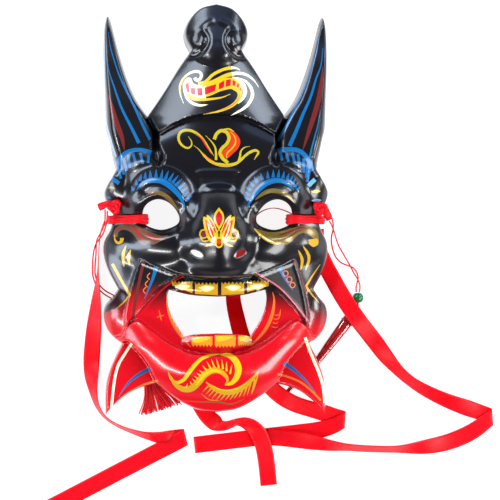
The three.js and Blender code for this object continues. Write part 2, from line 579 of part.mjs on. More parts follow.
// A tube along stations [x, y, z, half width, half height], solid or with a wall.
function tube(stations, sides, perStation, wall = 0) {
  const count = perStation * (stations.length - 1) + 1;
  const middles = stations.map(([x, y, z]) => new THREE.Vector3(x, y, z));
  const route = new THREE.CatmullRomCurve3(middles, false, 'centripetal');
  const sizes = new THREE.CatmullRomCurve3(stations.map(([, , , w, h]) => new THREE.Vector3(w, h, 0)));
  const places = [];
  const rings = wall ? [0, wall] : [0];
  for (let i = 0; i < count; i += 1) {
    const at = i / (count - 1);
    const middle = route.getPoint(at);
    const run = route.getTangent(at);
    const across = new THREE.Vector3(run.y, -run.x, 0);
    if (across.length() < 0.2) across.set(1, 0, 0);
    across.normalize();
    const up = across.clone().cross(run).normalize();
    const size = sizes.getPoint(at);
    for (const less of rings) {
      for (let k = 0; k < sides; k += 1) {
        const angle = (2 * Math.PI * k) / sides;
        const point = middle.clone().addScaledVector(across, (size.x - less) * Math.cos(angle));
        places.push(...point.addScaledVector(up, (size.y - less) * Math.sin(angle)).toArray());
      }
    }
  }
  const corner = (i, ring, k) => (i * rings.length + ring) * sides + (k % sides);
  const faces = [];
  const quad = (a, b, c, d) => faces.push(a, b, c, a, c, d);
  for (let i = 0; i < count - 1; i += 1) {
    for (let k = 0; k < sides; k += 1) {
      quad(corner(i, 0, k), corner(i + 1, 0, k), corner(i + 1, 0, k + 1), corner(i, 0, k + 1));
      if (wall) quad(corner(i, 1, k + 1), corner(i + 1, 1, k + 1), corner(i + 1, 1, k), corner(i, 1, k));
    }
  }
  const end = count - 1;
  for (let k = 0; k < sides; k += 1) {
    if (wall) {
      quad(corner(0, 0, k), corner(0, 0, k + 1), corner(0, 1, k + 1), corner(0, 1, k));
      quad(corner(end, 0, k), corner(end, 1, k), corner(end, 1, k + 1), corner(end, 0, k + 1));
    } else if (k > 0 && k < sides - 1) {
      faces.push(corner(0, 0, 0), corner(0, 0, k), corner(0, 0, k + 1));
      faces.push(corner(end, 0, 0), corner(end, 0, k + 1), corner(end, 0, k));
    }
  }
  const geometry = new THREE.BufferGeometry();
  geometry.setAttribute('position', new THREE.Float32BufferAttribute(places, 3));
  geometry.setIndex(faces);
  return geometry;
}

function cord(route) {
  const radius = CORD_THICK / 2;
  return tube(route.map(([x, y, z]) => [x, y, Math.max(z, radius + 0.15), radius, radius]), 5, 2);
}

// A bead whose hole runs the way its cord does.
function bead({ at, toward }) {
  const way = new THREE.Vector3(...toward).sub(new THREE.Vector3(...at)).normalize();
  const hole = new THREE.CylinderGeometry(BEAD_HOLE, BEAD_HOLE, 4 * BEAD_RADIUS, 8);
  hole.applyQuaternion(new THREE.Quaternion().setFromUnitVectors(new THREE.Vector3(0, 1, 0), way));
  const ball = toManifold(new THREE.SphereGeometry(BEAD_RADIUS, 12, 8));
  return toGeometry(ball.subtract(toManifold(hole)).translate(at));
}

// How high the middle of a knot's lump lies when it rests on the shell.
function restingHeight([x, y], [across, along, half]) {
  let z = 0;
  for (let u = -0.9; u <= 0.9; u += 0.15) {
    for (let v = -0.9; v <= 0.9; v += 0.15) {
      if (Math.hypot(u, v) < 1) {
        const under = frontHeight(x + u * across, y + v * along);
        const inPlan = onShell(x + u * across, y + v * along);
        if (inPlan) z = Math.max(z, under + half * Math.sqrt(1 - u * u - v * v) + 2 * GAP);
      }
    }
  }
  return z;
}

// A ribbon wrapped round the bar between an eye and the side of the mask, in and out of the eye,
// and knotted on the front.
const BAND = { inEye: 49.4, outside: 75.6, inside: 66.4, foot: 1.2, top: -5, bottom: -10.6 };
function tie(side, lumps, stub) {
  const around = (x, height) => [-3, 0, 3].flatMap((by) => (
    [2, 0, -3, -6, -8].map((down) => height(Math.min(x + by, BAND.inside), BAND.top + down))));
  const overFront = (x) => Math.max(...around(x, frontHeight)) + 3 * GAP;
  const underBack = (x) => Math.min(...around(x, backHeight)) - 4 * GAP;
  const shoulder = overFront(69.6);
  const loop = [
    [BAND.inEye, overFront(54) - 1],
    ...[54, 58, 62, 66].map((x) => [x, overFront(x)]),
    [69.6, shoulder], [73.4, shoulder - 0.6], [BAND.outside, shoulder - 3.4],
    [BAND.outside, BAND.foot + 1.4], [BAND.outside - 1.4, BAND.foot],
    [BAND.inside + 1.2, BAND.foot], [BAND.inside, BAND.foot + 1.4], [BAND.inside, underBack(66) - 2],
    ...[66, 62, 58, 54].map((x) => [x, underBack(x)]),
    [BAND.inEye, underBack(54) + 1],
  ];
  const edge = (y) => loop.map(([x, z]) => new THREE.Vector3(side * x, y, z));
  const edges = side > 0 ? [edge(BAND.top), edge(BAND.bottom)] : [edge(BAND.bottom), edge(BAND.top)];
  let solid = toManifold(strip(edges, RIBBON_THICK, true));
  for (const { at, size } of lumps) {
    const ball = new THREE.SphereGeometry(1, 10, 7).scale(...size);
    solid = solid.add(toManifold(ball.translate(side * at[0], at[1], restingHeight(at, size))));
  }
  const knot = restingHeight(lumps[0].at, lumps[0].size);
  const end = stub.map(([x, y, z, w, h]) => [side * x, y, knot + z, w, h]);
  return toGeometry(solid.add(toManifold(tube(end, 8, 2))));
}

// Each knot's lumps, and the cut end that stands out of it, its heights measured from the knot.
const LEFT_KNOT = [
  { at: [72.5, 3], size: [4.7, 4.6, 3.4] },
  { at: [69.4, -1.6], size: [3.4, 3.4, 2.6] },
  { at: [71.4, -5], size: [3.2, 3, 2.2] },
];
const LEFT_STUB = [
  [73, 3, 1, 2, 2], [76.4, 2.8, 1, 2.2, 1.8], [79.6, 1.8, 0, 2.2, 1.4], [82.8, 0.6, -1.6, 2, 0.9],
];
const RIGHT_KNOT = [
  { at: [72, 0.6], size: [4.6, 4.6, 3.4] },
  { at: [73.4, 3.6], size: [3, 3, 2.6] },
  { at: [71.6, -4.6], size: [3.4, 3, 2.2] },
];
const RIGHT_STUB = [
  [73.4, 0, 1, 2, 2], [75.8, -2.2, 0.8, 2.6, 1.8], [77.8, -4.8, -0.4, 2.7, 1.5], [79.2, -7.6, -2.4, 2.2, 0.9],
];

const nuoMask = new THREE.Group();

function piece(name, geometry, material) {
  const mesh = new THREE.Mesh(geometry, material);
  mesh.name = name;
  nuoMask.add(mesh);
}

const RED_PIECES = {
  ribbon_tie_left: tie(-1, LEFT_KNOT, LEFT_STUB),
  ribbon_tie_right: tie(1, RIGHT_KNOT, RIGHT_STUB),
  ribbon_left_outer: strip(ribbonEdges(LEFT_OUTER_TAIL, 2), RIBBON_THICK),
  ribbon_left_inner: strip(ribbonEdges(LEFT_INNER_TAIL, 2), RIBBON_THICK),
  ribbon_right_inner: strip(ribbonEdges(RIGHT_INNER_TAIL, 2), RIBBON_THICK),
  ribbon_right_outer: strip(ribbonEdges(RIGHT_OUTER_TAIL, 2), RIBBON_THICK),
  pendant_cord_left_a: cord(LEFT_STRAND_A),
  pendant_cord_left_b: cord(LEFT_STRAND_B),
  pendant_cord_right_a: cord(RIGHT_STRAND_A),
  pendant_cord_right_b: cord(RIGHT_STRAND_B),
  tassel_left: tube(LEFT_TASSEL, 8, 2),
  tassel_right: tube(RIGHT_TASSEL, 8, 2),
};
piece('mask_shell', maskShell(), blackPlastic);
for (const [name, geometry] of Object.entries(RED_PIECES)) piece(name, geometry, redSatin);
piece('bead_left', bead(LEFT_BEAD), greenGlass);
piece('bead_right', bead(RIGHT_BEAD), greenGlass);
const sleeve = RIGHT_TASSEL.slice(SLEEVE_FROM)
  .map(([x, y, z, w, h]) => [x, y, z, w + GAP + SLEEVE_WALL, h + GAP + SLEEVE_WALL]);
piece('tassel_sleeve_right', tube(sleeve, 8, 2, SLEEVE_WALL), clearSleeve);

export default nuoMask;
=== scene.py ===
import math

import bmesh
import bpy
import numpy as np
from mathutils import Matrix, Vector
from mathutils.geometry import delaunay_2d_cdt


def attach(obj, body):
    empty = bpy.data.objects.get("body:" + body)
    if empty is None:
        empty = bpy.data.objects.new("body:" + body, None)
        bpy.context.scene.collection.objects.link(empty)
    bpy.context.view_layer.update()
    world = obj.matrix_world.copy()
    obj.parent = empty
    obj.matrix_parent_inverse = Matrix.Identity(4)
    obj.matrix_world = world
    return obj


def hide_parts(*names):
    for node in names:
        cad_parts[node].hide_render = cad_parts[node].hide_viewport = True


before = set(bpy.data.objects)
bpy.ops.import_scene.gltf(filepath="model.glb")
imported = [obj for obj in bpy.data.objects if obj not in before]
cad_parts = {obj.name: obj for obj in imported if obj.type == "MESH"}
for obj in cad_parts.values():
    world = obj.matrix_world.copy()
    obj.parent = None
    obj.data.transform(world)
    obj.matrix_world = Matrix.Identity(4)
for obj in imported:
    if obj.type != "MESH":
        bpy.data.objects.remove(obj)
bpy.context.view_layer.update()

MM = 0.001
PICTURE_PX = 500
PICTURE_MIDDLE_PX = (250, 250)
MASK_MIDDLE_PX = (215.0, 209.5)       # where the mask's origin falls in the picture
MM_PER_PX = 0.7214                    # size of one picture point on the table
SENSOR = 36
CAMERA_HEIGHT = 1.35
CAMERA_ASIDE = -0.057                 # where the camera stands over the table
CAMERA_ALONG = -0.029
SHEET_WHITE = "#8c8e94"
SHEET_GLOW = 0.9                      # glow in the sheet's middle and far out
SHEET_EDGE_GLOW = 0.15
SHEET_REACH = 0.75                    # how far the glow of the sheet reaches, in metres,
SHEET_FADE = 0.6                      # and the outer share of that in which it fades
SHEET_HALF = 3                        # half the side of the sheet, in metres
LIGHT_WHITE = "#ffffff"
WINDOW_BLUE = "#a4c4ff"
PALE_BLUE = "#dce9fa"
ROOM_GREY = "#dfe4fa"
ROOM_GLOW = 0.15


def linear(code):
    """Turns an sRGB hex colour to linear light."""
    parts = [int(code[i:i + 2], 16) / 255 for i in (1, 3, 5)]
    return [c / 12.92 if c <= 0.04045 else ((c + 0.055) / 1.055) ** 2.4 for c in parts] + [1.0]


def add(tree, kind, inputs=None, **settings):
    """Adds one shader node. An input is a number, a colour or the socket that feeds it."""
    new = tree.nodes.new("ShaderNode" + kind)
    for name, value in settings.items():
        setattr(new, name, value)
    for name, value in (inputs or {}).items():
        if isinstance(value, bpy.types.NodeSocket):
            tree.links.new(value, new.inputs[name])
        else:
            new.inputs[name].default_value = value
    return new


def material(name):
    """Starts a material: its node tree and its surface shader."""
    made = bpy.data.materials.new(name)
    made.use_nodes = True
    return made, made.node_tree, made.node_tree.nodes["Principled BSDF"]


def show(name, mesh, *finishes):
    """Puts a mesh into the scene as an object with its materials."""
    shown = bpy.data.objects.new(name, mesh)
    bpy.context.scene.collection.objects.link(shown)
    for finish in finishes:
        mesh.materials.append(finish)
    return shown


def mesh_of(name, bm):
    """Turns a finished bmesh to a mesh."""
    mesh = bpy.data.meshes.new(name)
    bm.to_mesh(mesh)
    bm.free()
    return mesh


def table_point(px, py):
    """The place on the table, in millimetres, that a picture point shows."""
    return ((px - MASK_MIDDLE_PX[0]) * MM_PER_PX, (MASK_MIDDLE_PX[1] - py) * MM_PER_PX)


def soft_box(name, place, size, power, colour=LIGHT_WHITE, roll=0.0):
    """A flat light that is turned to the mask, and rolled about its own middle."""
    light = bpy.data.lights.new(name, "AREA")
    light.shape = "RECTANGLE"
    light.size, light.size_y = size
    light.energy = power
    light.color = linear(colour)[:3]
    lamp = bpy.data.objects.new(name, light)
    bpy.context.scene.collection.objects.link(lamp)
    lamp.location = place
    facing = (-Vector(place)).to_track_quat("-Z", "Y").to_matrix()
    lamp.rotation_euler = (facing @ Matrix.Rotation(roll, 3, "Z")).to_euler()


camera_data = bpy.data.cameras.new("camera")
camera = bpy.data.objects.new("camera", camera_data)
bpy.context.scene.collection.objects.link(camera)
bpy.context.scene.camera = camera
aim = Vector(table_point(*PICTURE_MIDDLE_PX) + (0,)) * MM
camera.location = (CAMERA_ASIDE, CAMERA_ALONG, CAMERA_HEIGHT)
looking = (aim - camera.location).normalized()
camera_right = looking.cross(Vector((0, 1, 0))).normalized()
camera_up = camera_right.cross(looking)
turn = Matrix((camera_right, camera_up, -looking)).transposed()
camera.rotation_euler = turn.to_euler()
camera_data.sensor_width = SENSOR
camera_data.lens = SENSOR * (aim - camera.location).length / (PICTURE_PX * MM_PER_PX * MM)

floor_mesh = bmesh.new()
bmesh.ops.create_grid(floor_mesh, x_segments=1, y_segments=1, size=SHEET_HALF)

# Opal acrylic sheet: matt, and glowing by its own emission, brightest under the mask and fading outwards,
# which lightens the shade under the mask and in its openings.
opal, sheet, sheet_shader = material("glowing_opal_sheet")
sheet_shader.inputs["Base Color"].default_value = linear(SHEET_WHITE)
sheet_shader.inputs["Roughness"].default_value = 0.9
sheet_shader.inputs["Emission Color"].default_value = linear(LIGHT_WHITE)
sheet_spot = add(sheet, "TexCoord")
sheet_place = add(sheet, "Mapping", {
    "Vector": sheet_spot.outputs["Object"], "Scale": (1 / SHEET_REACH,) * 3,
})
sheet_fade = add(sheet, "TexGradient", {"Vector": sheet_place.outputs["Vector"]}, gradient_type="SPHERICAL")
sheet_glow = add(sheet, "MapRange", {
    "Value": sheet_fade.outputs["Fac"], "From Max": SHEET_FADE, "To Min": SHEET_EDGE_GLOW,
    "To Max": SHEET_GLOW,
})
sheet.links.new(sheet_glow.outputs["Result"], sheet_shader.inputs["Emission Strength"])
glowing_floor_sheet = show("glowing_floor_sheet", mesh_of("glowing_floor_sheet", floor_mesh), opal)

# Each light's place and size are in metres and its power in watts.
soft_box("box_left", (-1.28, -0.24, 0.4), (0.4, 0.56), 7, PALE_BLUE)
soft_box("box_right", (0.95, -0.59, 0.87), (0.95, 0.58), 19)
soft_box("box_low_right", (1.35, 0.1, 0.45), (0.4, 0.3), 6)
soft_box("box_far_left", (-0.74, 0.88, 0.78), (1.05, 0.62), 17, PALE_BLUE)
soft_box("box_far_right", (0.93, 0.84, 0.66), (0.5, 0.45), 6.5, PALE_BLUE)
soft_box("strip_left", (-0.87, -0.78, 0.84), (1.2, 0.12), 14, roll=0.7)
soft_box("lamp_left", (-0.75, 0.5, 1.15), (0.14, 0.14), 3.5)
soft_box("lamp_right", (0.8, 0.45, 1.1), (0.12, 0.12), 2.5)
soft_box("window", (0.1, 1.12, 0.95), (1.6, 0.55), 2.8, WINDOW_BLUE)
world = bpy.data.worlds.new("room")
bpy.context.scene.world = world
world.use_nodes = True
room_light = world.node_tree.nodes["Background"]
room_light.inputs["Color"].default_value = linear(ROOM_GREY)
room_light.inputs["Strength"].default_value = ROOM_GLOW
bpy.context.scene.view_settings.view_transform = "Standard"

# The shell. One glossy plastic moulding with a 2.2 mm wall, formed over a sculpted face: a cap that
# ends in a curl, two horns, a brow, nose and cheeks, fangs, teeth round an open mouth, and a jaw
# with two fins. The ornament is painted on by hand.
WALL = 2.2
SIDE_ROUND = 1.6                      # radius of the rounding from the front to the shell's sides
SIDE_FOOT = 2.5                       # how far in from the edge the hollow starts
HOLE_ROUND = 1.2                      # rounding round the openings
STEP_BLEND = 0.7                      # half the width of a step between two fields
GRID = 0.5                            # spacing of the grid that holds the shell's heights
FIELD_STEP = 2.0                      # spacing of the points along the border of a field,
OUTLINE_STEP = 1.3                    # the outline of the shell,
EYE_STEP = 1.2                        # an eye
MOUTH_STEP = 1.4                      # and the mouth
ROUNDNESS = 2.3                       # of the shell's cross section: 2 is round, more is squarer
BROW_SQUARENESS = 3.4                 # what the brow has more of it
THINNEST_WALL = 0.8
CORNER = True
SHELL_OUTLINE = [
    (0, 146.1), (11.5, 142.8), (19.1, 135.2), (22.9, 126.6), (22.4, 119.8), (18.6, 112.2, CORNER),
    (26.7, 100.6), (36.4, 84.7), (48.7, 66.2, CORNER),
    (56.8, 78.3), (63, 92.5), (68.7, 110.4), (72.2, 123.7), (75.4, 135.6), (77.2, 138.6),
    (79.4, 130.9), (80.2, 115), (80, 97.3), (79.2, 79.3), (78.3, 57.3), (75.9, 49), (73.4, 35.7),
    (71.4, 27.8, CORNER),
    (74, 22.7), (77.9, 16.2), (79.7, 11.2), (78.6, 5.4), (76, 0.4), (72.2, -5.6, CORNER),
    (75.7, -15.5), (79.2, -22), (80.3, -28.5), (79.2, -36.4), (76.5, -44.4), (69.9, -57, CORNER),
    (73.6, -62.4), (78.6, -68.2), (80.2, -74.7), (78.9, -82.6), (75.4, -89.1), (67.2, -96, CORNER),
    (71.6, -105), (75.2, -113.6), (77.9, -123.7), (78.6, -133.1), (78.4, -146.1, CORNER),
    (69.9, -137.4), (61.3, -130.9), (53.4, -127.2), (42, -124.4, CORNER),
    (32.1, -132.4), (21.4, -139), (13.3, -142.5), (0, -144.4),
]
CAP_FIELD = [
    (0, 160), (48.7, 160, CORNER), (48.7, 66.2, CORNER), (41.2, 52.4, CORNER),
    (31.5, 58), (20.2, 62.8), (10, 65), (0, 65.6),
]
HORN_FIELD = [
    (48.7, 66.2, CORNER), (48.7, 160, CORNER), (95, 160, CORNER), (95, 27.8, CORNER),
    (71.4, 27.8, CORNER), (62, 34), (52, 37), (41.5, 34, CORNER), (41.2, 52.4, CORNER),
]
MOUTH_FIELD = [
    (0, -48.9), (12, -48.4), (25, -46.9, CORNER), (45, -52, CORNER), (62, -70, CORNER),
    (58, -86, CORNER), (30, -108, CORNER), (0, -110),
]
MOUTH_OPENING = [
    (0, -62), (18.2, -60.8), (33.8, -57.2, CORNER),
    (34.8, -61.7), (34.3, -68.2), (31.7, -76.1), (23.3, -90.2, CORNER),
    (17.1, -88.6), (0, -87.7),
]
EYE_OPENING = [
    (52.5, -5), (51.2, 0.2), (47.8, 3.9), (41.8, 6), (35.2, 4.2), (29.8, -0.6), (26.9, -6.3),
    (27.3, -10.2), (31.6, -13.2), (39.3, -15.1), (46.3, -13.5), (51.3, -10.4),
]
FANG_FIELD = [
    (54.5, -36, CORNER),
    (58.2, -46.5), (61.5, -57.7), (63.8, -68.9), (64.9, -77.5), (63.8, -83.6, CORNER),
    (55.3, -71), (47.7, -62.6), (41.2, -56.3), (31.9, -50.9), (25, -46.9, CORNER),
]
JAW_FIELD = [
    (0, -102.8), (19.1, -101.1), (33.9, -94.1), (46.2, -84.8), (55.9, -78.5), (63.8, -83.6, CORNER),
    (68, -90, CORNER), (95, -98, CORNER), (95, -160, CORNER), (0, -160),
]
FIN_FIELD = [
    (62.7, -93.6, CORNER), (95, -96, CORNER), (95, -160, CORNER), (42, -160, CORNER),
    (42, -124.4, CORNER), (47.4, -112.9), (52.7, -104.2),
]
NOSTRIL = (14.9, -31.7, 4.6, 2.0, 0.45)      # middle, half length, half width and turn
LIP_CREST = [
    (71, -77.5), (60.2, -87), (52, -95.4), (43.4, -103.2), (34.8, -109.4), (25.6, -113.8), (0, -116.4),
]
MIDDLE_HEIGHT = [
    (-146, 29), (-136, 34), (-120, 39), (-100, 44), (-60, 48), (-16, 50), (30, 44), (66, 38),
    (90, 32), (112, 27), (146, 17),
]
EDGE_HEIGHT = [
    (-146, 27), (-120, 27), (-100, 19), (-88, 15), (-40, 16), (0, 18), (30, 25), (50, 24), (66, 18),
    (112, 15), (146, 13),
]
HALF_WIDTH = [
    (-146, 44), (-132, 50), (-112, 62), (-90, 78), (-60, 80), (-10, 81), (40, 80), (66, 58), (90, 44),
    (112, 30), (146, 26),
]
HORN_INSIDE = [(27, 41), (52, 41.5), (66, 48.7), (78, 56.8), (92, 63), (110, 68.7), (124, 72.2), (139, 77)]
HORN_OUTSIDE = [(27, 71.4), (57, 78.3), (80, 79.2), (100, 80), (115, 80.2), (131, 79.4), (139, 77.4)]
HORN_CREST = [(27, 36), (66, 29), (100, 21), (139, 13)]
HORN_SIDE = [(27, 24), (60, 16), (139, 9)]
CAP_HALF_WIDTH = [(50, 46), (66, 42), (85, 34), (112, 22), (146, 22)]
# Humps and hollows of the face: height, middle, half width, half length and sharpness.
FACE_HUMPS = [
    (7, 40.4, 6.4, 27, 25, 1.1),      # dome over each eye
    (-7, 40, -6, 18, 15, 1),          # eye socket
    (8, 86, 18, 22, 34, 1),           # ear
    (20, 0, -18, 29, 36, 1.5),        # nose
    (7, 42, -25, 36, 19, 1.6),        # cheek
    (3, 0, -46, 50, 18, 1.6),         # upper lip
    (5, 73, -74, 15, 19, 1.3),        # lobe beside the mouth
    (2.5, 75, -32, 17, 34, 1.6),      # side of the cheek
]


def spline(points, per_span):
    """A smooth line through the given points, without loops where they lie close together."""
    given = [np.array(p, float) for p in points]
    given = [2 * given[0] - given[1]] + given + [2 * given[-1] - given[-2]]
    laid = []
    for p0, p1, p2, p3 in zip(given, given[1:], given[2:], given[3:]):
        spans = [max(np.linalg.norm(b - a) ** 0.5, 1e-4) for a, b in ((p0, p1), (p1, p2), (p2, p3))]
        start = ((p1 - p0) / spans[0] - (p2 - p0) / (spans[0] + spans[1]) + (p2 - p1) / spans[1]) * spans[1]
        stop = ((p2 - p1) / spans[1] - (p3 - p1) / (spans[1] + spans[2]) + (p3 - p2) / spans[2]) * spans[1]
        for step in range(per_span):
            t = step / per_span
            laid.append((2 * t**3 - 3 * t**2 + 1) * p1 + (t**3 - 2 * t**2 + t) * start
                        + (3 * t**2 - 2 * t**3) * p2 + (t**3 - t**2) * stop)
    laid.append(given[-2])
    return np.array(laid)


def evenly(points, step):
    """The same smooth line as points spaced evenly, about a step apart."""
    line = spline(points, 12)
    far = np.concatenate([[0], np.cumsum(np.linalg.norm(np.diff(line, axis=0), axis=1))])
    at = np.linspace(0, far[-1], max(1, round(far[-1] / step)) + 1)
    return np.stack([np.interp(at, far, column) for column in line.T], axis=1)


def walk(points, step, closed=False):
    """An outline: smooth curves between its corners."""
    ring = points + points[:1] if closed else points
    laid, stretch = [], []
    for i, point in enumerate(ring):
        stretch.append(point[:2])
        if i and (len(point) > 2 or i == len(ring) - 1):
            laid.append(evenly(stretch, step)[:-1])
            stretch = [point[:2]]
    if not closed:
        laid.append(np.array([points[-1][:2]], float))
    return np.concatenate(laid)


def whole(half, step):
    """A half outline joined to its mirror image."""
    right = walk(half, step)
    return np.concatenate([right, right[-2:0:-1] * (-1, 1)])


def away(x, y, line):
    """How far each place lies from a line of points."""
    best = np.full(np.shape(x), np.inf)
    for (ax, ay), (bx, by) in zip(line, line[1:]):
        length = (bx - ax) ** 2 + (by - ay) ** 2 + 1e-12
        share = np.clip(((x - ax) * (bx - ax) + (y - ay) * (by - ay)) / length, 0, 1)
        np.minimum(best, (x - ax - share * (bx - ax)) ** 2 + (y - ay - share * (by - ay)) ** 2, out=best)
    return np.sqrt(best)


def inside(x, y, ring):
    """Whether each place lies inside a ring, also where the ring laps over itself."""
    turns = np.zeros(np.shape(x), int)
    for (ax, ay), (bx, by) in zip(ring, np.roll(ring, -1, axis=0)):
        if ay == by:
            continue
        hit = ((ay > y) != (by > y)) & (x < ax + (bx - ax) * (y - ay) / (by - ay))
        turns += np.where(hit, 1 if by > ay else -1, 0)
    return turns != 0


def closed(ring):
    """A ring with its first point again at its end."""
    return np.concatenate([ring, ring[:1]])


def through(pairs, at):
    """A smooth run of values through a few given ones, without overshoot."""
    keys, values = np.array(pairs, float).T
    rises = np.diff(values) / np.diff(keys)
    both = rises[1:] * rises[:-1]
    slopes = np.zeros(len(keys))
    slopes[1:-1] = np.where(both > 0, 2 * both / np.where(both > 0, rises[1:] + rises[:-1], 1), 0)
    at = np.clip(at, keys[0], keys[-1])
    i = np.clip(np.searchsorted(keys, at, "right") - 1, 0, len(keys) - 2)
    span = keys[i + 1] - keys[i]
    u = (at - keys[i]) / span
    return ((1 + 2 * u) * (1 - u) ** 2 * values[i] + u * (1 - u) ** 2 * span * slopes[i]
            + u * u * (3 - 2 * u) * values[i + 1] + u * u * (u - 1) * span * slopes[i + 1])


def hump(x, y, middle_x, middle_y, across, along, sharpness=1.5, turn=0.0):
    """A round hump: 1 in its middle, 0 from its rim on, blunt at the rim when sharpness is small."""
    over, up = x - middle_x, y - middle_y
    over, up = over * math.cos(turn) + up * math.sin(turn), up * math.cos(turn) - over * math.sin(turn)
    return np.clip(1 - (over / across) ** 2 - (up / along) ** 2, 0, 1) ** sharpness


def ease(value):
    """A soft step from 0 to 1."""
    t = np.clip(value, 0, 1)
    return t * t * (3 - 2 * t)


def softened(heights, passes):
    """Heights with their creases rounded over a little."""
    for _ in range(passes):
        side = np.pad(heights, ((0, 0), (1, 1)), "edge")
        side[:, 0] = heights[:, 1]
        heights = (side[:, :-2] + 2 * side[:, 1:-1] + side[:, 2:]) / 4
        tall = np.pad(heights, ((1, 1), (0, 0)), "edge")
        heights = (tall[:-2] + 2 * tall[1:-1] + tall[2:]) / 4
    return heights


# The grid covers the right half of the shell; the left half mirrors it.
across_mm = np.arange(0, 86 + GRID, GRID)
along_mm = np.arange(-150, 150 + GRID, GRID)
X, Y = np.meshgrid(across_mm, along_mm)


def sampled(heights, x, y):
    """Values of the grid at any places, blended between its points."""
    column = np.clip(np.abs(x) / GRID, 0, len(across_mm) - 1.001)
    row = np.clip((y - along_mm[0]) / GRID, 0, len(along_mm) - 1.001)
    c, r = column.astype(int), row.astype(int)
    u, v = column - c, row - r
    return ((heights[r, c] * (1 - u) + heights[r, c + 1] * u) * (1 - v)
            + (heights[r + 1, c] * (1 - u) + heights[r + 1, c + 1] * u) * v)


def cast(points, height_at):
    """Where the camera sees picture points on a surface, as plan places in millimetres."""
    points = np.array(points, float)
    eye = np.array(camera.location) / MM
    middle_x, middle_y = PICTURE_MIDDLE_PX
    screen = (np.array(aim) / MM + np.outer((points[:, 0] - middle_x) * MM_PER_PX, camera_right)
              + np.outer((middle_y - points[:, 1]) * MM_PER_PX, camera_up))
    way = screen - eye
    height = np.full(len(points), 40.0)
    for _ in range(12):                   # from a middling height the place closes in on the surface
        at = eye + way * ((height - eye[2]) / way[:, 2])[:, None]
        height += 0.7 * (height_at(at[:, 0], at[:, 1]) - height)
    return at[:, :2]


def seam(points, width, height):
    """How near each place is to a line seen at picture points, 1 on the line itself."""
    line = cast(spline(points, 4), lambda x, y: height)
    line[:, 0] = abs(line[:, 0])
    return np.exp(-(away(X, Y, line) / width) ** 2)


def folded(heights, folds, height):
    """Heights with folds pressed into them: the size and the width of each, and the line it follows."""
    for size, width, line in folds:
        heights = heights + size * seam(line, width, height)
    return heights


out = np.minimum(1, X / through(HALF_WIDTH, Y))
edge_height = through(EDGE_HEIGHT, Y)
roundness = ROUNDNESS + BROW_SQUARENESS * ease((Y + 14) / 30) * ease((60 - Y) / 25)
head = edge_height + (through(MIDDLE_HEIGHT, Y) - edge_height) * (1 - out ** roundness)
face = head
for size, *form in FACE_HUMPS:
    face = face + size * hump(X, Y, *form)

# Folds round the brows, nose and cheeks: size and width in millimetres, and the line in picture points,
# read at one height of the surface.
FACE_LEVEL = 42.0
FACE_FOLDS = [
    (1.2, 3.6, [(136.5, 190.4), (141.4, 183.7), (151.4, 180.4), (159.7, 180.4), (169.6, 183.7),
                (178, 191.2), (183, 201.2)]),
    (-0.6, 2.4, [(141, 198), (150, 188.5), (161, 187), (171, 191), (178, 199), (181, 208)]),
    (0.5, 2.4, [(146, 194), (155, 192), (165, 194), (173, 201), (177, 209)]),
    (-0.9, 2.2, [(131, 190), (135, 178), (143, 169.5), (160, 165), (177, 170), (190, 182), (194, 194)]),
    (1.0, 1.5, [(197, 172.6), (208, 171.8), (219, 171.6)]),
    (-0.5, 1.8, [(199, 177), (219, 177)]),
    (0.8, 1.4, [(204, 188), (219, 187.4)]),
    (-0.4, 1.8, [(203, 193), (219, 192)]),
    (-0.7, 2.8, [(195, 172), (198, 182), (200, 192), (200, 204), (197, 214)]),
    (-0.7, 2.8, [(197, 214), (192, 226), (190, 238), (192, 248)]),
    (-0.7, 3.6, [(126, 250), (138, 258), (155, 262), (174, 262), (187, 257)]),
    (0.8, 2.8, [(184, 267), (200, 269), (219, 270)]),
    (0.6, 3.6, [(116, 231), (126, 227), (136, 230), (147, 236), (157, 238.5), (167, 235)]),
    (-0.5, 4.0, [(119, 238), (127, 236), (135, 243), (141, 249)]),
]
face = softened(folded(face, FACE_FOLDS, FACE_LEVEL), 4)

# The cap: a low ridge up its middle, the curled knob on top and a small lobe in either curl.
CAP_RISE = 4.5
RIDGE_RISE = 2.4
KNOB = (6, 0, 125, 27, 26, 0.9)
CURL_LOBE = (1.2, 13.4, 117.6, 9, 9, 1.4)
cap_ridge = ease(1 - X / through(CAP_HALF_WIDTH, Y)) * ease((Y - 52) / 14) * ease((118 - Y) / 16)
cap = head + CAP_RISE + RIDGE_RISE * cap_ridge
for size, *form in (KNOB, CURL_LOBE):
    cap = cap + size * hump(X, Y, *form)
CAP_LEVEL = 32.0
CAP_FOLDS = [
    (-0.7, 2.2, [(222, 21), (229, 25), (235, 32), (237, 40)]),
    (-1.7, 2.0, [(229.4, 31), (226.4, 37), (226.4, 43), (229.6, 49.5), (234.6, 54.4), (240, 56),
                 (247, 54.4)]),
    (0.3, 1.6, [(226, 31), (223, 37), (223, 43), (226.4, 50.6), (231.4, 57)]),
    (0.9, 1.5, [(271, 133), (262, 129), (245, 122), (225, 117), (217, 116.6)]),
]
cap = folded(cap, CAP_FOLDS, CAP_LEVEL)

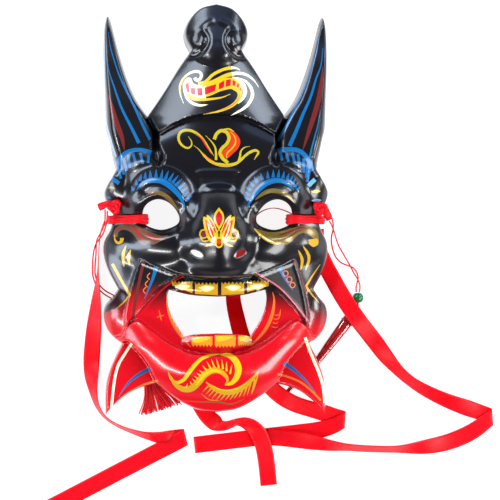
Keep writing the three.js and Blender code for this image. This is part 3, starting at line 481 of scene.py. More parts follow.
# The horns, mouth, fangs, lower lip and fins each stand at heights of their own.
horn_share = (X - through(HORN_INSIDE, Y)) / (through(HORN_OUTSIDE, Y) - through(HORN_INSIDE, Y))
horn_edge = through(HORN_SIDE, Y)
horn = horn_edge + (through(HORN_CREST, Y) - horn_edge) * (1 - np.clip(abs(2 * horn_share - 1), 0, 1) ** 9)
MOUTH_LEVEL = 38.5
UPPER_GUM = (4, 0, -54, 30, 8, 0.6)
LOWER_GUM = (3, 0, -95, 26, 7, 0.6)
mouth = MOUTH_LEVEL - 0.11 * np.hypot(X, 10)
for size, *form in (UPPER_GUM, LOWER_GUM):
    mouth = mouth + size * hump(X, Y, *form)
FANG_LEVEL = 45                       # at the fang's root, from where it leans out and down
FANG_BORDER = (1.5, 0.8, 0.7)         # a raised line's distance in from the fang's edge, width and rise
fang_line = away(X, Y, closed(walk(FANG_FIELD, FIELD_STEP, True)))
border_in, border_width, border_rise = FANG_BORDER
fang = (FANG_LEVEL - 0.24 * (X - 25) + 0.12 * (Y + 47)
        + border_rise * np.exp(-((fang_line - border_in) / border_width) ** 2))
LIP_REACH = 20
LIP_RISE = 8
lip = np.clip(1 - (away(X, Y, LIP_CREST) / LIP_REACH) ** 2, 0, 1) ** 1.4
jaw = head + LIP_RISE * lip
FIN_LEVEL = 17
fin = FIN_LEVEL + 4 * hump(X, Y, 66, -112, 24, 40, 1)

field_heights = softened(face, 4)
fields = [
    ("mouth", whole(MOUTH_FIELD, FIELD_STEP), mouth),
    ("jaw", whole(JAW_FIELD, FIELD_STEP), jaw),
    ("fin", walk(FIN_FIELD, FIELD_STEP, True), fin),
    ("fang", walk(FANG_FIELD, FIELD_STEP, True), fang),
    ("horn", walk(HORN_FIELD, FIELD_STEP, True), horn),
    ("cap", whole(CAP_FIELD, FIELD_STEP), cap),
]
for field_name, field_ring, field_height in fields:
    reach = away(X, Y, closed(field_ring))
    share = np.where(inside(X, Y, field_ring), reach, -reach)
    half_step = STEP_BLEND
    if field_name == "horn":
        half_step = STEP_BLEND + 5 * ease((46 - Y) / 10) * (Y > 20)    # the horn's foot runs out softly
    blend = ease((share + half_step) / (2 * half_step))
    field_heights = field_heights * (1 - blend) + softened(field_height, 2) * blend

outline = whole(SHELL_OUTLINE, OUTLINE_STEP)
eye_ring = walk(EYE_OPENING, EYE_STEP, True)
mouth_ring = whole(MOUTH_OPENING, MOUTH_STEP)
nx, ny, nostril_long, nostril_short, nostril_turn = NOSTRIL
angles = np.linspace(0, 2 * np.pi, 24, endpoint=False)
nostril_out, nostril_up = nostril_long * np.cos(angles), nostril_short * np.sin(angles)
nostril_ring = np.stack([
    nx + nostril_out * math.cos(nostril_turn) - nostril_up * math.sin(nostril_turn),
    ny + nostril_out * math.sin(nostril_turn) + nostril_up * math.cos(nostril_turn),
], axis=1)
MIRROR = np.array([-1.0, 1.0])
holes = [mouth_ring, eye_ring, eye_ring * MIRROR, nostril_ring, nostril_ring * MIRROR]


def rim_height(x, y):
    """How high the rim stands off the table: it lifts under the chin's fins and beside the cheeks."""
    side = np.abs(x)
    chin = 8 * ease((-y - 88) / 18)
    return chin + hump(side, y, 66, -120, 26, 30, 0.4) + 3.2 * hump(side, y, 76, -28, 24, 42, 0.3)


def edge_distances(x, y):
    """How far places lie in from the shell's outline and out from its openings."""
    side = np.abs(x)
    hole = np.min([away(side, y, closed(ring)) for ring in (mouth_ring, eye_ring, nostril_ring)], axis=0)
    return away(side, y, outline[:len(outline) // 2 + 1]), hole


def quarter_round(share):
    """The rise of a quarter circle from 0 to 1."""
    return np.sqrt(np.clip(1 - (1 - np.clip(share, 0, 1)) ** 2, 0, 1))


def front_height(x, y, heights, from_edge, from_hole):
    """The front: its fields, rounded off at the openings and down to the rim."""
    rim = rim_height(x, y) + WALL
    top = heights - HOLE_ROUND * (1 - quarter_round(from_hole / HOLE_ROUND))
    return rim + (top - rim) * quarter_round(from_edge / SIDE_ROUND)


edge_grid, hole_grid = edge_distances(X, Y)
on_shell = inside(X, Y, outline)
front_grid = front_height(X, Y, field_heights, np.where(on_shell, edge_grid, 0), hole_grid)

# The back keeps the wall's thickness from the front, also sideways on steep places.
under = field_heights
for angle in np.linspace(0, 2 * np.pi, 12, endpoint=False):
    beside = sampled(field_heights, X + WALL * math.cos(angle), Y + WALL * math.sin(angle))
    under = np.minimum(under, beside)
back_grid = under - WALL

# The paint. Each stroke and patch is laid by points of the picture, cast onto the front from the
# camera, so that it lies where it is seen.
INK = "#0a080c"
PIGMENT = 0.7                         # how strongly the paints show under the studio lights
BLUE = "#0672b2"
DEEP_BLUE = "#1c78b4"
SKY = "#7cc4ea"
GOLD = "#eab41c"
YELLOW = "#ffd018"
FLAME = "#d4bc24"
OLIVE = "#8a7430"
BROWN = "#7c5038"
JAW_RED = "#e80016"
RED = "#e2001a"
EMBER = "#f0401c"
ORANGE = "#ff7a2c"
AMBER = "#f09a26"
# pale gold of the painted highlight on the upper teeth
TOOTH_HIGHLIGHT_GOLD = "#f4dc80"
CREAM = "#fff4c8"
MAROON = "#7a2420"
# pink of the painted highlight along the right fang's inner border
WINE = "#2e0410"
PAINTED_PINK_HIGHLIGHT = "#d8707c"
BRUSH_STEP = 1.8                      # picture points between the points of a stroke's border
BRUSH_TIP = 0.14                      # share of its width that a stroke keeps at a thinned end
shapes = []


def front_at(x, y):
    """The height of the front."""
    return sampled(front_grid, x, y)


TAPERS = {
    "both": lambda share: np.sin(np.pi * share) ** 0.6,
    "start": lambda share: share ** 0.7,
    "end": lambda share: (1 - share) ** 0.7,
    "none": lambda share: np.ones_like(share),
}


def stroke(colour, width, points, taper="both"):
    """A brush stroke along a smooth line, thinned towards its ends."""
    line = evenly(points, BRUSH_STEP)
    run = np.gradient(line, axis=0)
    normal = np.stack([run[:, 1], -run[:, 0]], axis=1) / np.linalg.norm(run, axis=1)[:, None]
    share = np.linspace(0, 1, len(line))
    half = width / 2 * np.maximum(TAPERS[taper](share), BRUSH_TIP)[:, None]
    border = np.concatenate([line + normal * half, (line - normal * half)[::-1]])
    shapes.append((colour, cast(border, front_at)))


def fill(colour, points):
    """A painted patch with a smooth outline."""
    shapes.append((colour, cast(walk(points, BRUSH_STEP, True), front_at)))


def ticks(colour, width, inner, outer, count, taper="end"):
    """Short strokes from one line out to another."""
    starts, ends = (spline(line, 20) for line in (inner, outer))
    for k in range(count):
        at = k / (count - 1)
        stroke(colour, width, [starts[round(at * (len(starts) - 1))], ends[round(at * (len(ends) - 1))]],
               taper)


def loop(colour, width, x, y, across, along):
    """A painted ring."""
    turn_at = np.linspace(0, 2 * np.pi, 13)
    stroke(colour, width, np.stack([x + across * np.cos(turn_at), y + along * np.sin(turn_at)], axis=1),
           "none")


# Sides of the cheeks: a wine-red patch on each steep side, partly the black running into red and partly
# painted shade of the steep side.
fill(WINE, [(96, 258), (113, 264), (129, 295), (116, 308), (98, 312)])
fill(WINE, [(334, 258), (320, 264), (306, 287), (320, 303), (334, 308)])

# Horns: two blue stripes and a dark red one up each, and a lighter blue line at the edge, which on the left
# horn is partly a painted highlight of the edge.
stroke(BLUE, 3.0, [(150, 139.8), (144, 127.7), (134.8, 107.8), (125.7, 89.6), (119, 74.6), (114, 59.7),
                   (110.3, 46.4), (108.3, 32)], "end")
stroke(BLUE, 3.4, [(139, 143.1), (132.3, 129.4), (121.5, 107.8), (114.1, 87), (109, 71), (107, 58)], "end")
stroke(MAROON, 5.4, [(124.4, 150), (122, 138), (115.7, 121), (110.8, 104), (107.9, 94)])
# sky-blue line at the left horn's edge: partly blue paint and partly a painted highlight of the edge
stroke(SKY, 1.5, [(116, 157), (110.8, 139.8), (105.8, 120.7), (104.6, 100), (104.5, 60), (105, 28)], "end")
stroke(DEEP_BLUE, 3.2, [(277.2, 141.5), (284.6, 129.4), (295.4, 107.8), (305.4, 85.4), (312, 66.3),
                        (317, 49.8), (320, 28)], "end")
stroke(BLUE, 4, [(289.6, 146), (297, 129), (302.9, 114.4), (310.3, 97.8), (316.1, 78.8), (320.7, 66.3),
                 (323, 48)], "end")
stroke(MAROON, 5, [(302.9, 150), (310, 128), (317, 106), (321.5, 83), (323, 66)])
stroke(DEEP_BLUE, 1.8, [(309.5, 158), (312.8, 144), (317.8, 125), (320.3, 108)], "end")

# Cap: a curled flame, yellow to white, with a row of red scales inside.
fill(YELLOW, [(200, 86, CORNER), (214, 82), (226, 78), (236, 78.6), (242, 86), (242, 94, CORNER),
              (236, 88.6), (226, 88.4), (212, 95), (202, 98, CORNER)])
fill(CREAM, [(183.4, 92), (183, 84), (187, 78), (191, 78), (193, 83), (198, 85), (206, 84.6, CORNER),
             (206, 98, CORNER), (198, 99.6), (189, 97)])
SCALES = [
    [(185, 85), (188.6, 81.4), (189.6, 91), (187.6, 93)],
    [(190.6, 88), (195, 88), (195.4, 95), (191, 93.6)],
    [(197, 88), (202, 88), (202.5, 95.5), (197.5, 95.5)],
    [(204.5, 87.5), (216.5, 84), (215, 91), (205, 95)],
    [(219, 83.5), (224.5, 80), (224, 87.5), (218.5, 89.5)],
    [(226, 80), (231, 79), (230.5, 86), (225.5, 87)],
    [(232.5, 80), (236, 81.5), (235, 86), (232.5, 85.5)],
    [(237.5, 83), (239.5, 84.5), (238, 88.5), (236.5, 87)],
    [(240, 87), (241.5, 89.5), (241, 92.5), (239.5, 91)],
]
for scale in SCALES:
    fill(RED, [point + (CORNER,) for point in scale])
stroke(CREAM, 4, [(232, 77), (238, 79), (243, 84.4), (245, 91), (243, 98), (238, 103.6)], "both")
stroke(YELLOW, 3, [(198, 83.5), (205, 82), (213, 74.6), (224.4, 69.2), (232, 67.8)], "none")
stroke(CREAM, 3, [(231, 67.9), (236, 68), (240, 70)], "end")
stroke(YELLOW, 4, [(202, 85.4), (214, 81.5), (225, 76), (233, 73.8)], "none")
stroke(CREAM, 3.6, [(232, 74), (238, 73.2), (246.5, 74.8), (254, 80.4), (258.5, 87)], "end")
stroke(CREAM, 3.2, [(237, 77.4), (245.7, 81.3), (251.5, 89), (252.3, 96), (248, 104.5), (241.5, 109.8),
                    (230.7, 115.6)])
stroke(CREAM, 3.2, [(183.6, 103.5), (180.2, 94), (179.6, 86.5), (182, 80.5), (187, 75), (193, 71.8),
                    (198.6, 71.6), (201.4, 74.4), (200.2, 78.6), (196.6, 80.4), (194.6, 77.8)], "start")
stroke(YELLOW, 1.6, [(181.4, 97), (180.2, 90), (181, 84), (184.5, 78), (189, 74)])
stroke(YELLOW, 4, [(187, 95), (194, 98.6), (203, 99.6), (213, 98.8), (222, 97.4), (230.4, 94)], "end")
stroke(CREAM, 2.8, [(184, 93), (187.5, 99), (193, 103.4), (200.3, 105.4), (207.5, 104.6)])
stroke(YELLOW, 3.6, [(202, 98), (212, 93.8), (222.4, 89.4), (231.6, 87.4), (237, 89.6)], "start")
stroke(YELLOW, 4.6, [(234, 87.8), (238.6, 91), (239.6, 96), (236.6, 101.6), (230.7, 106.4), (218.3, 111.4),
                     (203, 114.4)], "end")
stroke(ORANGE, 1.1, [(240, 94), (237, 101), (229, 107), (219, 110.6)])

# Forehead: a flame with a curl on one side and two leaves on the other.
stroke(FLAME, 2.8, [(188.4, 136.6), (191.4, 141.2), (191.4, 145.6), (188, 148), (182.4, 145.6),
                    (178.8, 140), (179.2, 134), (183.4, 130.6), (190, 130.4), (197, 133.6), (203.5, 140),
                    (209.5, 149), (214, 156)])
stroke(EMBER, 1.5, [(195, 133), (201.5, 138.4), (206.5, 146), (211.5, 154)])
stroke(FLAME, 2.6, [(205.5, 135.5), (211, 141), (215, 147), (216, 153), (216, 160)], "start")
stroke(FLAME, 3, [(193.7, 145.5), (199, 149.5), (205, 157), (212, 162.5), (224, 165)], "start")
stroke(ORANGE, 1.2, [(203, 153), (209, 159), (216, 162.6)])
fill(EMBER, [(224, 130.6), (231, 130.6), (237, 134.6), (240.3, 141.5), (238, 148.4), (233, 153.4),
             (227.5, 158), (223, 156), (222.4, 151.5), (228, 146), (230.6, 140), (228, 134)])
stroke(FLAME, 3.4, [(214.3, 139.4), (216.6, 133.8), (221.4, 130.6), (226.6, 132.4), (229, 138),
                    (227, 143.6), (222, 148.4), (220, 152.6), (222.4, 158), (228, 163)], "none")
stroke(YELLOW, 1.3, [(230, 131.4), (234.8, 136.6), (235.4, 143), (231.4, 149), (227, 153.4), (227, 160)])
stroke(FLAME, 1.6, [(222, 129.6), (229, 129), (234.6, 132)])
stroke(FLAME, 2.6, [(250, 146.4), (244.6, 147.4), (241, 151), (240, 156.4), (238.6, 161.6)], "start")
stroke(FLAME, 2.8, [(236, 163), (243, 157.6), (250, 152.2), (256, 150.4), (258.6, 152.4), (256.4, 156),
                    (254.2, 159.8)])
stroke(FLAME, 3.4, [(208, 159.6), (216, 164), (226, 165.4), (236, 163.4), (245, 157.5)])
stroke(ORANGE, 1, [(214, 164.6), (224, 166), (233, 165)])

# Feet of the horns: a blue comb.
LEFT_COMB = [(116, 167), (119.9, 158.5), (124.9, 153.4), (132.3, 150.4), (141.4, 150), (151.4, 152.4)]
RIGHT_COMB = [(277.6, 150.6), (284.6, 149.6), (297, 150.2), (302.9, 153.4), (309, 161.4), (312.4, 170.5)]
stroke(BLUE, 4, LEFT_COMB, "none")
ticks(BLUE, 2.6, [(117.4, 166), (121, 160), (128, 155), (136, 153), (149, 153)],
      [(121, 178.6), (125.6, 172.4), (130, 168), (140, 164.6), (148, 163)], 7, "none")
stroke(BLUE, 4.6, RIGHT_COMB, "none")
ticks(BLUE, 2.6, [(280.4, 152), (289, 152), (298, 154), (306, 161), (310.6, 168)],
      [(282, 160.5), (292, 162.6), (300, 168), (305.4, 175.6), (307, 182)], 7, "none")

# Brows: a blue crescent with wedges that stand off from it, and a brown lid under it.
LEFT_BROW = [
    (136.5, 190.4), (139.8, 185.4), (145.6, 181.8), (153, 180.4), (160.5, 180.8), (167.1, 184),
    (173.8, 189.6), (179.6, 196.2), (182.9, 202), (185, 208.6),
]
RIGHT_BROW = [
    (247.3, 207.8), (249.8, 202), (254.8, 194), (261.4, 186.8), (268, 182.4), (275.5, 180.4), (282.1, 181),
    (288.8, 185), (293.7, 190.4),
]
stroke(BLUE, 5.6, LEFT_BROW)
ticks(BLUE, 3.6, [(133.5, 190.5), (140, 181), (150.6, 177.8), (161.1, 178.4), (169, 181), (175, 185.6),
                  (181.6, 192), (185.5, 200.5)],
      [(131.4, 186), (141.3, 174.5), (150, 170), (162.7, 169.6), (173.8, 172.6), (182.2, 179),
       (187.4, 187.5), (192, 196)], 15)
stroke(BLUE, 5.6, RIGHT_BROW)
ticks(BLUE, 3.6, [(248.5, 200), (251, 190.5), (257.5, 183), (268, 178.4), (278.3, 177.4), (287, 180),
                  (292.5, 184.4), (296.5, 190)],
      [(244, 197), (245.5, 186.5), (254, 176.3), (267.5, 171), (279, 169.6), (289, 173.5), (295.5, 178.5),
       (300.5, 187)], 15)
stroke(BROWN, 4.6, [(146, 195.4), (152.2, 193), (159.7, 193), (167.1, 197), (173, 203.6), (178.4, 211)])
stroke(OLIVE, 3, [(152.2, 192.6), (159.7, 192.6), (167.1, 196.6), (173, 203.2), (178, 209.5)])
stroke(OLIVE, 4.6, [(255, 200), (263, 193.7), (269.7, 191), (276.3, 191), (283, 192.4), (290, 197),
                    (294, 203)])

# Lower lids: a brown wave with red veins that ends in a golden hook.
fill(BROWN, [(112.8, 236.6), (114.9, 229), (119.9, 225), (127.3, 223.7), (134.8, 225), (141.4, 227.5),
             (148, 230.8), (154.7, 233.7), (161.3, 235.8), (168.5, 235.6), (161.3, 240.7), (153, 244.5),
             (149.2, 242.8, CORNER), (144.8, 245.3, CORNER), (139.8, 243), (136.5, 239), (132.3, 233.3),
             (127.3, 230.4), (121.5, 230), (117.8, 233.3), (117.2, 237)])
stroke(GOLD, 4, [(114.6, 234.4), (115, 240), (118, 243), (121.6, 241.2), (121.8, 238)], "start")
stroke(RED, 1.8, [(130.5, 226.6), (136.6, 230.6), (139.8, 236), (144, 239.8)])
stroke(RED, 1.8, [(145.4, 232.4), (150, 236.6), (154.4, 238.6), (160.5, 237.6)])
fill(OLIVE, [(253.9, 227.9), (263, 230.8), (273, 232.4), (283, 230.8), (291.3, 228.3), (299.6, 226.4),
             (309.5, 226.4), (316, 229.6), (318.6, 235.8), (318.2, 241), (313, 238), (308, 233.6),
             (301.2, 233.3), (296.2, 236.6), (291.3, 241.6), (286.3, 244.8), (280.5, 242.6, CORNER),
             (272, 243), (264, 238), (257, 232)])
stroke(GOLD, 2.8, [(254, 228.3), (261, 235.4), (268, 240.4), (275, 243.4), (281, 243.4)])
# a cream line along the gold: a painted highlight on the edge of the lid
stroke(CREAM, 1.3, [(262, 236), (268, 240), (275, 242.6)])
stroke(MAROON, 2, [(277.6, 235.8), (284.6, 233.6), (293, 230.4), (301, 227.6), (309, 228.6)])
stroke(MAROON, 1.6, [(283, 240), (290, 236.6), (297, 231.6), (304, 229.6)])
fill(GOLD, [(308.4, 239.6), (317.8, 239), (318, 244.4), (313.4, 247), (309.4, 244)])

# Temples: three dashes before each ear.
stroke(BLUE, 4, [(111.4, 177.6), (115, 180.6), (119, 183.4)], "none")
stroke(OLIVE, 2.4, [(107, 188), (111, 187.6), (115.6, 188.4)])
stroke(BLUE, 2.6, [(106.4, 197), (108.6, 197.4), (111, 198.8)])
stroke(SKY, 4.2, [(308.4, 186), (311.6, 182.6), (315, 179.4)], "none")
stroke(YELLOW, 2.8, [(311.6, 191.6), (316, 191.2), (320.6, 191.2)])
stroke(SKY, 2.8, [(311.6, 200.7), (316, 200.3), (321.4, 200.3)])

# Cheeks: two crescents beside each cheek, and the golden line of the cheek fold.
for cheek in ([(126, 245.5), (123, 255), (124, 267)], [(130.7, 249.5), (128.4, 257.5), (129.6, 265)],
              [(303, 245.5), (309, 257), (305.8, 270)], [(298.4, 250), (302.2, 260), (300.6, 270)]):
    stroke(GOLD, 3, cheek)
stroke(GOLD, 2.6, [(112.4, 264), (120.6, 279), (130, 295.4)], "none")
stroke(GOLD, 2.2, [(130, 294.6), (124, 302), (116.4, 308.4)], "end")
stroke(GOLD, 2.4, [(320.4, 264), (313, 275), (305.8, 286.6)], "start")
stroke(GOLD, 2.4, [(305.8, 286), (312, 294.6), (319.6, 303.6)], "end")

# Fangs: dark red edges, a pink painted highlight along the right fang's inner border, a blue quill and
# small orange loops.
stroke(MAROON, 3, [(143.4, 262.5), (140, 278), (135, 303), (132.6, 322)], "none")
stroke(RED, 3.6, [(185, 275.6), (169.6, 284), (157, 295), (144.8, 310), (135, 325)], "start")
stroke(MAROON, 1.6, [(293.7, 258.5), (299.6, 274), (306, 290.5), (311.4, 323)], "none")
# pink line: a painted highlight along the right fang's inner border
stroke(PAINTED_PINK_HIGHLIGHT, 1.6, [(255.8, 273), (278, 286.3), (292.9, 301.3), (311, 324.5)], "none")
stroke(BLUE, 4, [(156.2, 266.8), (153, 278), (149, 288), (144.6, 298.6)], "end")
stroke(BLUE, 4, [(279, 267.4), (283, 274.7), (287, 281.4), (293.2, 290.6)], "end")
for x, y in ((149.5, 276.5), (147.5, 284), (145.5, 290.5)):
    stroke(ORANGE, 1, [(x + 0.5, y - 3.4), (x - 2.4, y), (x, y + 3.2)], "none")
for x, y in ((285.6, 273.6), (289.4, 279.4), (292.6, 285)):
    loop(ORANGE, 0.9, x, y, 2.6, 2.8)

# Corners of the mouth: an orange stripe along the gum and a small spray.
stroke(ORANGE, 3, [(167, 293), (167.6, 305), (171.6, 320), (179.6, 334), (190.6, 347)])
stroke(ORANGE, 3.4, [(272.6, 292), (274.2, 300), (272, 315), (265, 330), (251, 346)])
stroke(ORANGE, 1, [(159, 310), (160.2, 316), (161.6, 321)])
stroke(ORANGE, 1, [(156.6, 317.4), (160, 316.4), (164.4, 315)])
stroke(ORANGE, 1.1, [(280.6, 309), (280, 314), (278.6, 319)])
for k in range(4):
    stroke(ORANGE, 0.9, [(274 - k, 314.6 + 4 * k), (277, 315.4 + 4 * k), (280.4 - k, 313.4 + 4 * k)])

# Teeth: gold with a dark jagged root line, and gaps between, and a pale painted highlight on each. An upper
# tooth is its left and right side, its root and its two lower corners; a lower one its sides, its upper
# edge and its root.
UPPER_TEETH = [
    (172, 192.4, 281, 285.4, 293.2), (195, 217.8, 282.6, 294, 295.2), (221.4, 244.2, 282, 295.2, 294),
    (247.2, 268.6, 280.4, 292.2, 286),
]
LOWER_TEETH = [(191.6, 212.4, 336.4, 345.6), (214.8, 235.6, 335, 346.4), (238, 251.5, 335.4, 345)]


def tooth(colour, left, right, root, left_foot, right_foot, spikes=6, spike=1.2):
    """A tooth whose root ends in a row of spikes."""
    edge = [(left, left_foot, CORNER)]
    for k in range(2 * spikes + 1):
        edge.append((left + (right - left) * k / (2 * spikes), root + (spike if k % 2 else -spike), CORNER))
    fill(colour, edge + [(right, right_foot, CORNER)])


for left_px, right_px, root_px, left_foot_px, right_foot_px in UPPER_TEETH:
    tooth(GOLD, left_px, right_px, root_px + 1, left_foot_px, right_foot_px)
    middle_px = (left_px + right_px) / 2
    # a pale gold patch with a cream one inside it on each upper tooth: a painted highlight
    for painted_highlight, reach_px in ((TOOTH_HIGHLIGHT_GOLD, 8.4), (CREAM, 5.4)):
        fill(painted_highlight, [(middle_px - reach_px, root_px + 5), (middle_px, root_px + 6 - 0.4 * reach_px),
                     (middle_px + reach_px, root_px + 5), (middle_px, root_px + 5 + 0.5 * reach_px)])
for left_px, right_px, root_px, foot_px in LOWER_TEETH:
    tooth(AMBER, left_px, right_px, foot_px, root_px, root_px)
    # a yellow patch along the top of each lower tooth: a painted highlight
    fill(YELLOW, [(left_px + 1, root_px + 1), (right_px - 2, root_px + 1), (right_px - 6, root_px + 4),
                  (left_px + 2, root_px + 6)])
stroke(WINE, 1.2, [(189, 335.4), (205, 332.6), (222, 332), (252, 334.8)], "none")

# Nose: a lotus with a bud on either side, and cream painted highlights on its petals where the nose's tip
# catches the light.
LOTUS_MIDDLE_PX = 219


def mirrored(side, points):
    """Points beside the lotus's middle line, on its right or on its left."""
    return [(LOTUS_MIDDLE_PX + side * x, y) for x, y in points]


for side in (-1, 1):
    fill(YELLOW, mirrored(side, [(2, 243), (9, 241.6), (14, 231), (15.4, 216.6), (10.6, 218.6), (6, 226),
                                 (2.4, 235)]))
    fill(EMBER, mirrored(side, [(4.4, 240), (9, 237), (12, 229), (13.6, 219.6), (10, 222), (6.6, 229)]))
    # cream along each side petal: a painted highlight
    stroke(CREAM, 1.3, mirrored(side, [(5, 240), (8.6, 233), (11.4, 222.6)]))
    fill(YELLOW, mirrored(side, [(0.6, 239), (5, 233), (10, 223), (12.4, 214.4), (7.6, 218.6), (3.6, 226),
                                 (1, 233)]))
    fill(RED, mirrored(side, [(2.4, 234.6), (6, 229), (9, 221.6), (10.4, 217.8), (7.4, 220.8), (4.4, 227)]))
    loop(GOLD, 1.6, LOTUS_MIDDLE_PX + side * 15.4, 234, 3.8, 4.2)
    fill(MAROON, mirrored(side, [(12.8, 234), (15.4, 231), (18, 234), (15.4, 237)]))
    stroke(GOLD, 1.6, mirrored(side, [(19, 236), (16, 241), (8, 240)]))
    stroke(GOLD, 2, mirrored(side, [(4, 240.6), (8, 244.4), (14.6, 246.6)]))
    # cream patch at the lotus's foot: a painted highlight
    fill(CREAM, mirrored(side, [(3, 236.6), (7.6, 238.6), (7, 242.4), (3.4, 242)]))
fill(YELLOW, [(219, 207.4, CORNER), (223.2, 213), (224.2, 219.4), (222, 225.4), (219, 230, CORNER),
              (216, 225.4), (213.8, 219.4), (214.8, 213)])
fill(RED, [(219, 210.6, CORNER), (221.8, 215), (222.4, 219.6), (219, 227, CORNER), (215.6, 219.6),
           (216.2, 215)])
loop(YELLOW, 1.6, 219, 242.4, 3.4, 5)
fill(EMBER, [(219, 238), (221, 242), (219, 245.4), (217, 242)])
stroke(FLAME, 1.3, [(219, 228), (217, 234), (219, 239)])
stroke(FLAME, 1.3, [(219, 228), (221, 234), (219, 239)])

# Chin: a wave with a combed back that rolls into a spiral, and a feathered leaf under it.
stroke(YELLOW, 4, [(168.4, 372), (171, 379), (176.2, 382.6), (183, 380.2), (189, 372.6), (195.3, 364.6),
                   (202, 358.6), (210, 355.4), (220, 354)])
stroke(YELLOW, 6.6, [(220, 354.6), (229, 355.4), (235.7, 361), (238.4, 369), (236.4, 377.6), (231.6, 383),
                     (225, 385)], "both")
stroke(GOLD, 6.6, [(169, 374), (176, 385), (184.5, 389.4), (192, 388.2), (198.6, 382), (204.4, 375),
                   (211, 371), (218, 370.6), (224, 374), (227.6, 380), (225, 385)])
stroke(YELLOW, 3, [(196, 385.6), (201, 379), (207, 373), (215, 370.4), (222, 373)])
ticks(YELLOW, 2, [(186, 388), (195.3, 383), (199.5, 378), (204, 373), (210.2, 369), (217, 367.6),
                  (224, 369.6), (230, 374)],
      [(187.6, 383.6), (191.8, 379.6), (195.4, 375), (199.4, 369.6), (206, 362), (214.4, 358.8),
       (223, 359.8), (232, 364.4)], 13)
stroke(GOLD, 5.4, [(206, 382), (213, 388), (222, 391.8), (231, 392), (240, 389), (248, 383.4),
                   (258.8, 371.8)], "both")
stroke(YELLOW, 1.6, [(210, 384.4), (222, 390), (236, 389), (248, 382)])
ticks(GOLD, 1.8, [(208.4, 386), (218, 391.4), (231, 393), (243, 389), (255, 379)],
      [(203, 391.4), (212, 398.4), (225, 400.4), (239, 397.4), (251.4, 394)], 13)
stroke(GOLD, 1.6, [(258.4, 373), (255.4, 383), (251.6, 394)])
stroke(OLIVE, 1.5, [(188, 401), (200, 401.8), (218, 402), (232, 404), (244, 399)])
stroke(ORANGE, 1.2, [(201, 393.4), (208.6, 399.4), (220, 400.6)])

# Fins: a cream edge, an orange line and a blue flame.
stroke(CREAM, 2.6, [(131.6, 343.6), (124.8, 354), (118.4, 364.8), (115.2, 376.4), (113.4, 388),
                    (111.8, 404.6), (111, 412)], "none")
stroke(ORANGE, 2.2, [(158, 380.6), (148, 383.2), (137.3, 388), (127.3, 393.8), (119, 400.5), (111.6, 411)],
       "none")
stroke(BLUE, 4.2, [(150, 368.8), (141.4, 373), (131.5, 380), (124.8, 387.4), (118.6, 397)], "end")
stroke(CREAM, 2.8, [(305.2, 337.5), (309.5, 350), (314.3, 361.5), (319, 373), (323, 386.4), (325, 403)],
       "none")
stroke(ORANGE, 2, [(277.2, 374), (287, 376.6), (299.5, 381.6), (309.5, 389), (321, 400.5)], "none")
stroke(BLUE, 4.2, [(284, 363), (292.9, 369), (301.2, 376.4), (308.7, 384), (315.6, 392.6)], "end")

# The mesh: a plan of triangles whose edges follow the outlines, steps and brush strokes, used once
# for the front and once for the back.
PLAN_STEP = 1.25
PLAN_ROW = 0.87 * PLAN_STEP           # rows of even triangles
EDGE_ROWS = (0.12, 0.4, 0.85, 1.5, 2.3, 3.2)     # rows of points beside the shell's edge,
HOLE_ROWS = (0.15, 0.5, 1.2)                     # its openings
STEP_ROWS = (-0.7, -0.25, 0.25, 0.7)             # and the steps between fields


def offset_ring(ring, by):
    """A ring moved sideways; places where it would run into itself are left out."""
    run = np.roll(ring, -1, axis=0) - np.roll(ring, 1, axis=0)
    length = np.maximum(np.linalg.norm(run, axis=1), 1e-6)
    normal = np.stack([-run[:, 1], run[:, 0]], axis=1) / length[:, None]
    moved = ring + normal * by
    return moved[away(moved[:, 0], moved[:, 1], closed(ring)) > abs(by) * 0.94]


rings = [outline] + holes
field_rings = [ring for _, ring, _ in fields]
field_rings += [ring * MIRROR for name, ring, _ in fields if name in ("fin", "fang", "horn")]
rows = [offset_ring(outline, side * by) for by in EDGE_ROWS for side in (1, -1)]
rows += [offset_ring(ring, side * by) for ring in holes for by in HOLE_ROWS for side in (1, -1)]
rows += [offset_ring(ring, by) for ring in field_rings for by in STEP_ROWS]
row_points = np.concatenate(rows)
lattice = []
half_row = int(across_mm[-1] / PLAN_STEP)
for row in range(int((along_mm[-1] - along_mm[0]) / PLAN_ROW)):
    for column in range(-half_row, half_row + 1):
        lattice.append(((column + (row % 2) / 2) * PLAN_STEP, along_mm[0] + row * PLAN_ROW))
lattice = np.array(lattice)
free = np.concatenate([row_points, lattice])
free = free[inside(free[:, 0], free[:, 1], outline)]

# Every loose point keeps clear of the edges, and one of the even lattice also of the rows there.
free_edge, free_hole = edge_distances(free[:, 0], free[:, 1])
is_row = np.arange(len(free)) < np.sum(inside(row_points[:, 0], row_points[:, 1], outline))
clear = (free_edge > 0.08) & (free_hole > 0.1) & (is_row | ((free_edge > 3.4) & (free_hole > 1.6)))
free = free[clear]
free = free[~np.any([inside(free[:, 0], free[:, 1], ring) for ring in holes], axis=0)]

plan_points = [Vector(p) for p in free]
plan_edges = []
for ring in rings + [ring for _, ring in shapes] + field_rings:
    first = len(plan_points)
    plan_points += [Vector(p) for p in ring]
    plan_edges += [(first + i, first + (i + 1) % len(ring)) for i in range(len(ring))]
plan = delaunay_2d_cdt(plan_points, plan_edges, [], 0, 1e-4, False)
place = np.array([tuple(p) for p in plan[0]])
corners = np.array(plan[2])
middle = place[corners].mean(axis=1)
kept = inside(middle[:, 0], middle[:, 1], outline)
for ring in holes:
    kept &= ~inside(middle[:, 0], middle[:, 1], ring)
corners, middle = corners[kept], middle[kept]
used = np.unique(corners)
renumber = np.full(len(place), -1)
renumber[used] = np.arange(len(used))
place, corners = place[used], renumber[corners]
plan_x, plan_y = place.T
from_edge, from_hole = edge_distances(plan_x, plan_y)
front_z = front_height(plan_x, plan_y, sampled(field_heights, plan_x, plan_y), from_edge, from_hole)
